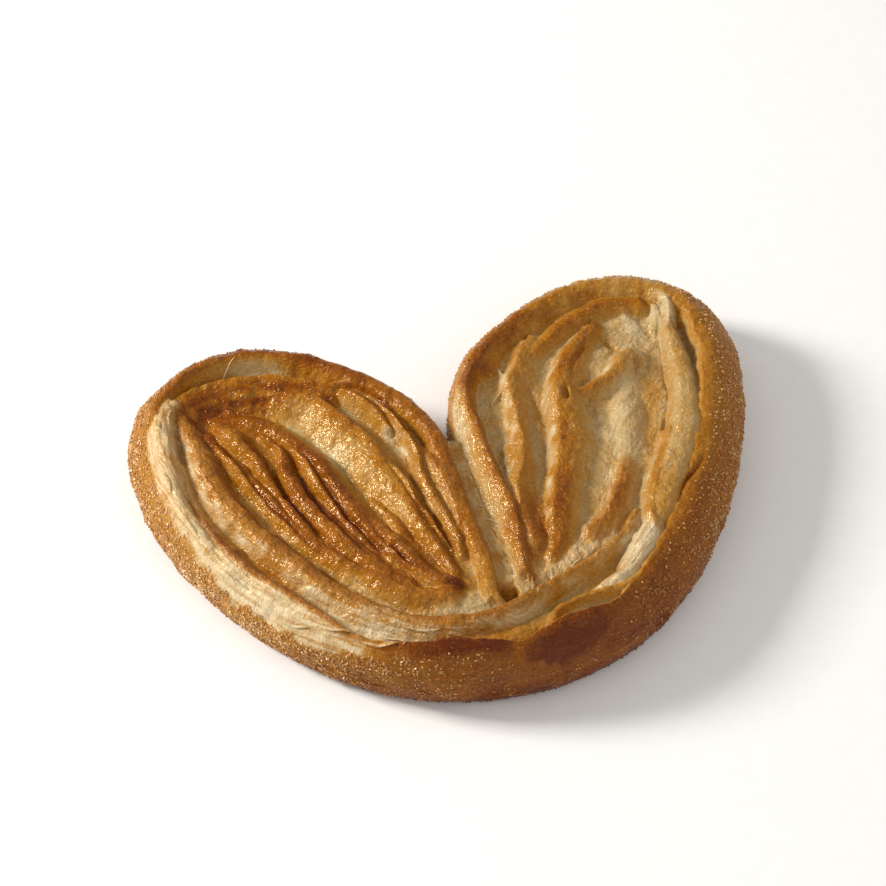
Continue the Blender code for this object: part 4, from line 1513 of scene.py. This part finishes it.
@dataclass
class Underside:
    """The slab that the pastry rests on, one strip from tip to tip round the foot of the seam.

    It touches the ground near its edge and hollows inwards, with the folds pressed nearly flat.
    """

    outline: Outline
    length_steps: int = 240  # points along each lobe
    width_steps: int = 110  # points across
    hollow: float = 0.5  # how far its middle is off the ground, in millimetres
    fold: float = 0.20  # height of its pressed folds
    wrinkle: float = 0.14  # height of its unevenness
    bake: float = 0.66  # browning of its pressed edge
    lap: float = 0.1  # how far in from the wall's foot it begins

    def inset(self, turn: Floats) -> Floats:
        """Its edge, just inside the foot of the wall."""
        return round_trip(WALL_TUCK, turn) + self.lap

    def build(self, maker: Maker, material: Material) -> Piece:
        """Shapes the strip's lower face and closes it above, inside the other pieces."""
        left, right = (
            LobePlan(lobe, self.outline, self.inset, self.length_steps, self.width_steps).grid()
            for lobe in Lobe
        )
        plan = np.vstack([left, right[-2::-1]])
        _, room = self.outline.locate(plan.reshape(-1, 2))
        room = (room.reshape(plan.shape[:2]) - 2.6).clip(0)
        free = smooth_step(room, 0.4, 6.0)
        phase = room * 1.15 + 1.5 * noise(plan, 9.0, 501)
        fold = self.fold * np.sin(phase) * smooth_step(room, 1.0, 4.0)
        height = self.hollow * free + fold + self.wrinkle * rough(plan, 3.0, 3, 503) * free
        bake = self.bake + 0.16 * rough(plan, 7.0, 4, 507) - 0.4 * fold - 0.18 * free
        none = np.zeros(height.size)
        looks = {"bake": bake.ravel(), "flake": none, "gloss": none + 0.5, "sugar": none + 0.5}
        points = np.dstack([plan, np.maximum(height, 0)]).reshape(-1, 3)
        skin = Skin(points, flow_of(plan).reshape(-1, 2), looks)
        parts = closed_patch(skin, *height.shape, UNDERSIDE_TOP)
        return maker.piece("underside", *parts, material, CRUST_SLOT)


@dataclass
class SeamWeb:
    """The strip of dough that joins the two lobes along the seam, a little below their edges."""

    outline: Outline
    ends: Point = (-30.5, 14.5)  # its two ends on the plan, measured along Y
    level: float = 12.6  # its height in the middle of its length
    sink: float = 4.0  # how far its ends sink
    lap: float = 1.6  # how far it reaches into the lobe on each side
    lumps: float = 0.3  # height of its unevenness
    bake: Point = (0.34, 0.3)  # its browning in the middle, and how much more there is at its ends
    length_steps: int = 160  # points along it
    width_steps: int = 12  # points across it

    def edge(self, run: Run, y: Floats) -> Floats:
        """X of one wall of the seam at the given Y."""
        own = np.floor(self.outline.turn) == run.value
        x, up = self.outline.points[own].T
        order = np.argsort(up)
        return np.interp(y, up[order], x[order])

    def build(self, maker: Maker, material: Material) -> Piece:
        """Shapes the strip's upper face, sunk towards its ends, and closes it below."""
        y = np.linspace(*self.ends, self.length_steps)[:, None]
        left = self.edge(Run.LEFT_INSIDE, y) - self.lap
        right = self.edge(Run.RIGHT_INSIDE, y) + self.lap
        x = left + (right - left) * np.linspace(0, 1, self.width_steps)
        plan = np.dstack([x, np.broadcast_to(y, x.shape)])
        low, high = self.ends
        near_end = np.minimum(y - low, high - y)
        height = self.level - self.sink * (1 - smooth_step(near_end, 0.0, 5.0))
        height = height + self.lumps * rough(plan, 2.4, 3, 521)
        flat = np.zeros(height.size)
        browned = self.bake[0] + self.bake[1] * (1 - smooth_step(near_end, 2.0, 6.0))
        bake = (browned + 0.12 * rough(plan, 2.0, 3, 523)).ravel()
        looks = {"bake": bake, "flake": flat + 0.3, "gloss": flat + 0.4, "sugar": flat}
        skin = Skin(np.dstack([plan, height]).reshape(-1, 3), flow_of(plan).reshape(-1, 2), looks)
        parts = closed_patch(skin, *height.shape, EQUATOR_HEIGHT)
        return maker.piece("seam_web", *parts, material, CRUST_SLOT)


# ---- finishes


@dataclass
class Graph:
    """A node tree being filled."""

    tree: bpy.types.NodeTree

    def add(self, kind: str, inputs: dict[str, object] | None = None, **settings: object) -> Node:
        """Adds a node with the given settings, and feeds the given inputs."""
        node = self.tree.nodes.new(kind)
        for name, value in settings.items():
            setattr(node, name, value)
        for name, value in (inputs or {}).items():
            self.feed(node.inputs[name], value)
        return node

    def feed(self, socket: Plug, value: object) -> None:
        """Links another node's output to a socket, or sets the socket's own value."""
        if isinstance(value, Plug):
            self.tree.links.new(value, socket)
        else:
            socket.default_value = value

    def math(self, operation: str, *values: Value) -> Plug:
        """One arithmetic step on numbers."""
        node = self.add("ShaderNodeMath", operation=operation)
        for socket, value in zip(node.inputs, values):
            self.feed(socket, value)
        return node.outputs[0]

    def times(self, first: Value, second: Value) -> Plug:
        """The product of two values."""
        return self.math("MULTIPLY", first, second)

    def times_plus(self, first: Value, second: Value, third: Value) -> Plug:
        """The product of two values, plus a third."""
        return self.math("MULTIPLY_ADD", first, second, third)

    def mix(self, share: Value, first: object, second: object) -> Plug:
        """A colour between two others."""
        node = self.add("ShaderNodeMix", data_type="RGBA")
        for name, value in (("Factor_Float", share), ("A_Color", first), ("B_Color", second)):
            self.feed(next(s for s in node.inputs if s.identifier == name), value)
        return next(s for s in node.outputs if s.identifier == "Result_Color")

    def noise(self, vector: Plug, size: float, detail: float = 3.0) -> Plug:
        """Noise around 0.5 whose features have the given size in millimetres."""
        inputs = {"Vector": vector, "Scale": 1 / (size * MM), "Detail": detail}
        return self.add("ShaderNodeTexNoise", inputs).outputs["Fac"]

    def cells(self, vector: Plug, size: float, **settings: object) -> Node:
        """Round cells of the given size in millimetres."""
        return self.add("ShaderNodeTexVoronoi", {"Vector": vector, "Scale": 1 / (size * MM)}, **settings)

    def drawn_out(self, flow: Plug, share: float) -> Plug:
        """Coordinates that draw a pattern out along the folds, to 1 / share of its length."""
        return self.add("ShaderNodeMapping", {"Scale": (share, 1, 1), "Vector": flow}).outputs["Vector"]

    def fit(self, value: Value, low: float, high: float, to_low: float, to_high: float) -> Plug:
        """A value moved from one range to another, held at the ends."""
        names = ("Value", "From Min", "From Max", "To Min", "To Max")
        inputs = dict(zip(names, (value, low, high, to_low, to_high)))
        return self.add("ShaderNodeMapRange", inputs).outputs["Result"]

    def ramp(self, value: Value, stops: Stops) -> Plug:
        """A colour read between stops."""
        node = self.add("ShaderNodeValToRGB", {"Fac": value})
        for _ in stops[2:]:
            node.color_ramp.elements.new(0.5)
        for element, (position, colour) in zip(node.color_ramp.elements, stops):
            element.position = position
            element.color = (*colour, 1)
        return node.outputs["Color"]

    def look(self, name: str) -> Plug:
        """A value stored on the mesh."""
        return self.add("ShaderNodeAttribute", attribute_name=name).outputs["Fac"]

    def group(self, shared: bpy.types.NodeTree, **inputs: object) -> Node:
        """Places a shared group and feeds its inputs."""
        node = self.add("ShaderNodeGroup", node_tree=shared)
        for name, value in inputs.items():
            self.feed(node.inputs[name], value)
        return node


def new_group(
    name: str, inputs: dict[str, str], outputs: dict[str, str]
) -> tuple[Graph, dict[str, Plug], Node]:
    """Starts a shader node group.

    Args:
        name: the group's name.
        inputs: its input names, each with a socket type.
        outputs: its output names, each with a socket type.

    Returns:
        A graph to fill, the inputs by name, and the output node.
    """
    tree = bpy.data.node_groups.new(name, "ShaderNodeTree")
    for direction, sockets in (("INPUT", inputs), ("OUTPUT", outputs)):
        for label, kind in sockets.items():
            tree.interface.new_socket(label, in_out=direction, socket_type=f"NodeSocket{kind}")
    graph = Graph(tree)
    given = graph.add("NodeGroupInput")
    return graph, {label: given.outputs[label] for label in inputs}, graph.add("NodeGroupOutput")


def new_material(name: str) -> tuple[Material, Graph, Node, Plug]:
    """Starts a material.

    Args:
        name: the material's name.

    Returns:
        The material, a graph of its nodes, its shader, and the place on the object.
    """
    material = bpy.data.materials.new(name)
    material.use_nodes = True
    graph = Graph(material.node_tree)
    place = graph.add("ShaderNodeTexCoord").outputs["Object"]
    return material, graph, material.node_tree.nodes["Principled BSDF"], place


@dataclass(frozen=True)
class Browning:
    """The colours that sugared dough goes through in the oven, from raw to burnt."""

    stops: Stops = (  # browning and colour
        (0.0, (0.56, 0.43, 0.24)),
        (0.16, (0.46, 0.318, 0.138)),
        (0.34, (0.42, 0.205, 0.036)),
        (0.52, (0.35, 0.134, 0.008)),
        (0.70, (0.255, 0.072, 0.0025)),
        (0.86, (0.160, 0.034, 0.0015)),
        (1.0, (0.108, 0.013, 0.0005)),
    )
    dry_flake: Colour = (0.66, 0.525, 0.33)  # colour of a thin dry flake of pale dough
    blotch: float = 0.28  # how much the browning varies over a few millimetres
    speckle: float = 0.42  # how much it varies within a millimetre
    line: float = 0.75  # how much of the flakes' paleness is lost along the edges of layers

    def group(self) -> bpy.types.NodeTree:
        """Browning with blotches and speckles, read through a colour ramp."""
        graph, given, out = new_group(
            "browning",
            {"Place": "Vector", "Flow": "Vector", "Bake": "Float", "Flake": "Float"},
            {"Color": "Color", "Browned": "Float"},
        )
        blotch = graph.math("SUBTRACT", graph.noise(given["Place"], 5.5, 5.0), 0.5)
        speckle = graph.math("SUBTRACT", graph.noise(given["Place"], 0.6, 3.0), 0.5)
        browned = graph.times_plus(blotch, self.blotch, given["Bake"])
        browned = graph.times_plus(speckle, self.speckle, browned)
        colour = graph.ramp(browned, self.stops)
        torn = graph.noise(graph.drawn_out(given["Flow"], 0.22), 0.9, 4.0)
        dry = graph.times(given["Flake"], graph.fit(torn, 0.36, 0.62, 0.25, 1.0))
        dry = graph.times(dry, graph.fit(browned, 0.25, 0.6, 0.9, 0.1))
        thin = graph.noise(graph.drawn_out(given["Flow"], 0.10), 0.8, 3.0)
        lines = graph.fit(thin, 0.50, 0.60, 1.0, 1 - self.line)
        dry = graph.times(dry, lines)
        edges = graph.times(given["Flake"], graph.math("SUBTRACT", 1.0, lines))
        colour = graph.mix(graph.times(edges, 0.6), colour, (*self.stops[3][1], 1))
        graph.feed(out.inputs["Color"], graph.mix(dry, colour, (*self.dry_flake, 1)))
        graph.feed(out.inputs["Browned"], browned)
        return graph.tree


@dataclass(frozen=True)
class Fibres:
    """Fine wrinkles that run along the folds where thin dough was stretched."""

    length: float = 7.0  # length of a wrinkle in millimetres
    width: float = 0.42  # its width

    def group(self) -> bpy.types.NodeTree:
        """Noise squeezed across the folds, as a height from 0 to 1."""
        graph, given, out = new_group("fibres", {"Flow": "Vector"}, {"Height": "Float"})
        flow = graph.drawn_out(given["Flow"], self.width / self.length)
        fine = graph.noise(flow, self.width, 1.5)
        broad = graph.noise(flow, self.width * 3, 2.0)
        graph.feed(out.inputs["Height"], graph.times_plus(broad, 0.8, fine))
        return graph.tree


@dataclass(frozen=True)
class Blisters:
    """Fine grain of baked dough: tiny bubbles, and sugar that melted into a lumpy glaze."""

    bubble: float = 1.1  # width of a bubble in millimetres
    grain: float = 0.55  # width of a lump of glaze

    def group(self) -> bpy.types.NodeTree:
        """Rounded bubbles and a finer grain, as a height from 0 to about 1."""
        graph, given, out = new_group("blisters", {"Place": "Vector"}, {"Height": "Float"})
        bubbles = graph.cells(given["Place"], self.bubble, feature="SMOOTH_F1")
        bubbles.inputs["Smoothness"].default_value = 0.6
        grain = graph.noise(given["Place"], self.grain, 1.2)
        height = graph.times_plus(bubbles.outputs["Distance"], -0.5, 0.5)
        graph.feed(out.inputs["Height"], graph.times_plus(grain, 1.0, height))
        return graph.tree


@dataclass(frozen=True)
class SugarCrust:
    """Sugar baked onto the outside: crowded crystals, half melted, with pale facets."""

    crystal: float = 0.40  # width of a crystal in millimetres
    frosting: Colour = (0.72, 0.44, 0.19)  # colour of the pale ones

    def group(self) -> bpy.types.NodeTree:
        """Cells of crystal size: a height, and a mask of the pale ones that stand up."""
        graph, given, out = new_group(
            "sugar_crust", {"Place": "Vector", "Sugar": "Float"}, {"Height": "Float", "Pale": "Float"}
        )
        cells = graph.cells(given["Place"], self.crystal)
        dome = graph.fit(cells.outputs["Distance"], 0.0, 0.75, 1.0, 0.0)
        odd = graph.add("ShaderNodeSeparateColor", {"Color": cells.outputs["Color"]})
        stands = graph.fit(odd.outputs["Red"], 0.25, 0.9, 0.15, 1.0)
        height = graph.times(dome, stands)
        rises = graph.fit(given["Sugar"], 0.0, 0.25, 0.0, 1.0)
        graph.feed(out.inputs["Height"], graph.times(height, rises))
        pale = graph.fit(height, 0.35, 0.85, 0.0, 1.0)
        graph.feed(out.inputs["Pale"], graph.times(pale, given["Sugar"]))
        return graph.tree


@dataclass(frozen=True)
class GlintSpecks:
    """Painted glints: pale flecks in the colour that stand for light caught by the glaze, and for flecks of
    melted sugar; crowded in places and drawn out along the folds.
    """

    size: float = 0.5  # width of a speck in millimetres
    stretch: float = 1.3  # how much longer than wide it is
    colour: Colour = (1.0, 0.80, 0.50)  # its colour, a painted glint

    def group(self) -> bpy.types.NodeTree:
        """The peaks of a stretched noise, as a mask that is 1 on a speck."""
        graph, given, out = new_group(
            "glint_specks", {"Place": "Vector", "Flow": "Vector", "Glaze": "Float"}, {"Mask": "Float"}
        )
        peaks = graph.noise(graph.drawn_out(given["Flow"], 1 / self.stretch), self.size, 1.0)
        crowd = graph.fit(graph.noise(given["Place"], 2.6, 3.0), 0.35, 0.65, 0.0, 0.14)
        peaks = graph.math("ADD", peaks, crowd)
        mask = graph.times(graph.fit(peaks, 0.66, 0.80, 0.0, 1.0), given["Glaze"])
        graph.feed(out.inputs["Mask"], mask)
        return graph.tree


@dataclass
class SharedGroups:
    """The node groups that the dough's finishes share."""

    browning: bpy.types.NodeTree = field(default_factory=lambda: Browning().group())
    fibres: bpy.types.NodeTree = field(default_factory=lambda: Fibres().group())
    blisters: bpy.types.NodeTree = field(default_factory=lambda: Blisters().group())
    sugar_crust: bpy.types.NodeTree = field(default_factory=lambda: SugarCrust().group())
    glint_specks: bpy.types.NodeTree = field(default_factory=lambda: GlintSpecks().group())


@dataclass(frozen=True)
class DoughFinish:
    """Baked dough, from dry pale flakes to dark glazed caramel."""

    name: str  # the material's name
    fibre_depth: float = 0.07  # height of the wrinkles along the folds, in millimetres
    blister_depth: float = 0.21  # height of bubbles and grain
    sugar_depth: float = 0.24  # height of the sugar crystals where there is sugar
    dry: float = 0.52  # roughness of bare dough
    glazed: float = 0.11  # roughness of glazed dough
    frost: float = 0.26  # how much pale sugar shows on the crust
    painted_glints: float = 0.20  # how pale the painted glints are, which also stand for flecks of melted sugar
    bead_depth: float = 0.13  # their height
    glaze: Colour = (1.0, 0.81, 0.50)  # tint of what the glaze mirrors
    mirror: float = 0.32  # how strongly it mirrors

    def material(self, shared: SharedGroups) -> Material:
        """Builds the material from the shared groups.

        Args:
            shared: the node groups for browning, fibres, blisters, sugar and painted glints.

        Returns:
            The finished material.
        """
        material, graph, shader, place = new_material(self.name)
        flow = graph.add("ShaderNodeUVMap", uv_map="flow").outputs["UV"]
        bake, flake, gloss, sugar = (graph.look(name) for name in LOOKS)
        fibres = graph.group(shared.fibres, Flow=flow).outputs["Height"]
        blisters = graph.group(shared.blisters, Place=place).outputs["Height"]
        crystals = graph.group(shared.sugar_crust, Place=place, Sugar=sugar)
        # Painted shade and light: the dips between the wrinkles are browned darker and their tops paler,
        # more so on browner dough.
        dip_shade = graph.math("SUBTRACT", 0.9, fibres)
        bake = graph.times_plus(dip_shade, graph.fit(bake, 0.1, 0.5, 0.04, 0.14), bake)
        browned = graph.group(shared.browning, Place=place, Flow=flow, Bake=bake, Flake=flake)
        frost = graph.times(crystals.outputs["Pale"], self.frost)
        colour = graph.mix(frost, browned.outputs["Color"], (*SugarCrust.frosting, 1))
        # Painted glints: pale flecks mixed into the colour where there is glaze, fading out on dark dough.
        painted_glints = graph.group(shared.glint_specks, Place=place, Flow=flow, Glaze=gloss).outputs["Mask"]
        seen = graph.fit(browned.outputs["Browned"], 0.5, 0.8, self.painted_glints, 0.0)
        colour = graph.mix(graph.times(painted_glints, seen), colour, (*GlintSpecks.colour, 1))
        graph.feed(shader.inputs["Base Color"], colour)
        wet = graph.times(gloss, graph.fit(browned.outputs["Browned"], 0.1, 0.5, 0.8, 1.0))
        graph.feed(shader.inputs["Roughness"], graph.fit(wet, 0.0, 1.0, self.dry, self.glazed))
        shader.inputs["Specular IOR Level"].default_value = self.mirror
        shader.inputs["Specular Tint"].default_value = (*self.glaze, 1)
        height = graph.times(fibres, self.fibre_depth)
        height = graph.times_plus(blisters, self.blister_depth, height)
        height = graph.times_plus(crystals.outputs["Height"], self.sugar_depth, height)
        height = graph.times_plus(painted_glints, self.bead_depth, height)
        bump = graph.add("ShaderNodeBump", {"Distance": MM, "Height": height})
        graph.feed(shader.inputs["Normal"], bump.outputs["Normal"])
        return material


@dataclass(frozen=True)
class SugarFinish:
    """Sugar crystals, from clear and pale to caramel brown."""

    stops: Stops = (  # browning and colour
        (0.0, (0.80, 0.60, 0.36)),
        (0.25, (0.66, 0.40, 0.15)),
        (0.6, (0.40, 0.16, 0.030)),
        (1.0, (0.14, 0.040, 0.006)),
    )
    roughness: Point = (0.22, 0.42)  # of the clearest and of the cloudiest spots
    mirror: float = 0.6  # how strongly a crystal mirrors

    def material(self) -> Material:
        """Colour by the browning of each crystal, with cloudy spots and a varying polish."""
        material, graph, shader, place = new_material("sugar_crystal")
        cloud = graph.noise(place, 0.3, 2.0)
        bake = graph.times_plus(graph.math("SUBTRACT", cloud, 0.5), 0.5, graph.look("bake"))
        graph.feed(shader.inputs["Base Color"], graph.ramp(bake, self.stops))
        graph.feed(shader.inputs["Roughness"], graph.fit(cloud, 0.3, 0.7, *self.roughness))
        shader.inputs["Specular IOR Level"].default_value = self.mirror
        return material


@dataclass(frozen=True)
class FloorFinish:
    """A plain pale sheet."""

    colour: Colour = (0.93, 0.93, 0.92)  # its colour
    grain: float = 0.02  # how much darker its grain is
    roughness: float = 0.9  # how matt it is

    def material(self) -> Material:
        """An even matt surface with a hardly visible grain."""
        material, graph, shader, place = new_material("pale_floor")
        shade = graph.fit(graph.noise(place, 4.0), 0.3, 0.7, 1 - self.grain, 1.0)
        colour = graph.mix(shade, (0, 0, 0, 1), (*self.colour, 1))
        graph.feed(shader.inputs["Base Color"], colour)
        shader.inputs["Roughness"].default_value = self.roughness
        return material


# ---- studio


def direction(azimuth: float, elevation: float) -> Vector:
    """The unit vector towards an azimuth from the front, rising to the right, and an elevation."""
    turn, rise = math.radians(azimuth), math.radians(elevation)
    flat = math.cos(rise)
    return Vector((math.sin(turn) * flat, -math.cos(turn) * flat, math.sin(rise)))


@dataclass(frozen=True)
class Lamp:
    """A square soft lamp, turned towards the pastry."""

    name: str  # the lamp's name
    azimuth: float  # its direction, in degrees from the front, rising to the right
    elevation: float  # its height above the horizon, in degrees
    size: float  # its side in metres
    watts: float  # its power
    colour: Colour  # its colour
    distance: float = 0.8  # how far it stands from the pastry, in metres

    def build(self) -> None:
        """Puts the lamp up."""
        light = bpy.data.lights.new(self.name, "AREA")
        light.size = self.size
        light.energy = self.watts
        light.color = self.colour
        lamp = put_in_scene(self.name, light)
        lamp.location = direction(self.azimuth, self.elevation) * self.distance
        lamp.rotation_euler = lamp.location.to_track_quat("Z", "Y").to_euler()


@dataclass
class Studio:
    """A pale floor, soft light from the back left, and the camera.

    Attributes:
        centre: the plan point that the part's origin lies under.
        azimuth: the camera's direction round the pastry, in degrees from its front.
        elevation: the camera's height above the horizon, in degrees.
        distance: from the camera to the point that it looks at, in metres.
        target: that point on the plan and its height, in millimetres.
        lens: focal length in millimetres.
        floor_size: side of the floor in metres.
        sky: strength of the even light from all round.
        lamps: the lamps.
    """

    centre: Floats
    azimuth: float = -15.0
    elevation: float = 50.0
    distance: float = 0.72
    target: tuple[float, float, float] = (-2.4, 8.5, 15.0)
    lens: float = 150.0
    floor_size: float = 3.0
    sky: float = 0.50
    lamps: tuple[Lamp, ...] = (
        Lamp("key", -116.0, 30.0, size=0.20, watts=7.8, colour=(1.0, 0.97, 0.92)),
        Lamp("fill", 35.0, 38.0, size=0.9, watts=1.5, colour=(1.0, 0.98, 0.95)),
    )

    def floor(self) -> None:
        """A large sheet just below the pastry."""
        mesh = bpy.data.meshes.new("floor")
        half = self.floor_size / 2
        corners = [(-half, -half), (half, -half), (half, half), (-half, half)]
        mesh.from_pydata([(x, y, -0.1 * MM) for x, y in corners], [], [[0, 1, 2, 3]])
        mesh.materials.append(FloorFinish().material())
        floor = put_in_scene("floor", mesh)

    def world(self) -> None:
        """Even white light from all round."""
        world = bpy.data.worlds.new("soft_sky")
        world.use_nodes = True
        sky = world.node_tree.nodes["Background"].inputs
        sky["Color"].default_value = (1.0, 0.98, 0.95, 1)
        sky["Strength"].default_value = self.sky
        bpy.context.scene.world = world
        bpy.context.scene.view_settings.view_transform = "Standard"

    def camera(self) -> None:
        """The camera, looking at its target from its azimuth and elevation."""
        camera = put_in_scene("camera", bpy.data.cameras.new("camera"))
        camera.data.lens = self.lens
        camera.data.clip_start = 0.01
        x, y, z = self.target
        target = Vector((x - self.centre[0], y - self.centre[1], z)) * MM
        away = direction(self.azimuth, self.elevation)
        camera.location = target + away * self.distance
        camera.rotation_euler = away.to_track_quat("Z", "Y").to_euler()
        bpy.context.scene.camera = camera

    def build(self) -> None:
        """Puts up the floor, the light and the camera."""
        self.floor()
        self.world()
        for lamp in self.lamps:
            lamp.build()
        self.camera()


# ---- assembly


def main() -> None:
    """Loads the frame, builds every piece and sets up the studio."""
    logging.basicConfig(level=logging.INFO, format="%(name)s: %(message)s")
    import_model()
    outline = Outline()
    relief = Relief(outline)
    maker = Maker(outline.centre)
    shared = SharedGroups()
    crust = DoughFinish("sugared_crust", fibre_depth=0.05).material(shared)
    folds = DoughFinish("folded_dough").material(shared)
    rim = Rim(outline, relief)
    ring = rim.build(maker, crust)
    SugarGrains().build(maker, ring, len(ring.points) // outline.count, SugarFinish().material())
    for lobe in Lobe:
        Leaf(lobe, outline, relief).build(maker, folds)
    Underside(outline).build(maker, crust)
    SeamWeb(outline).build(maker, folds)
    Shreds(outline, relief).build(maker, folds)
    Studio(outline.centre).build()


if __name__ == "__main__":
    main()
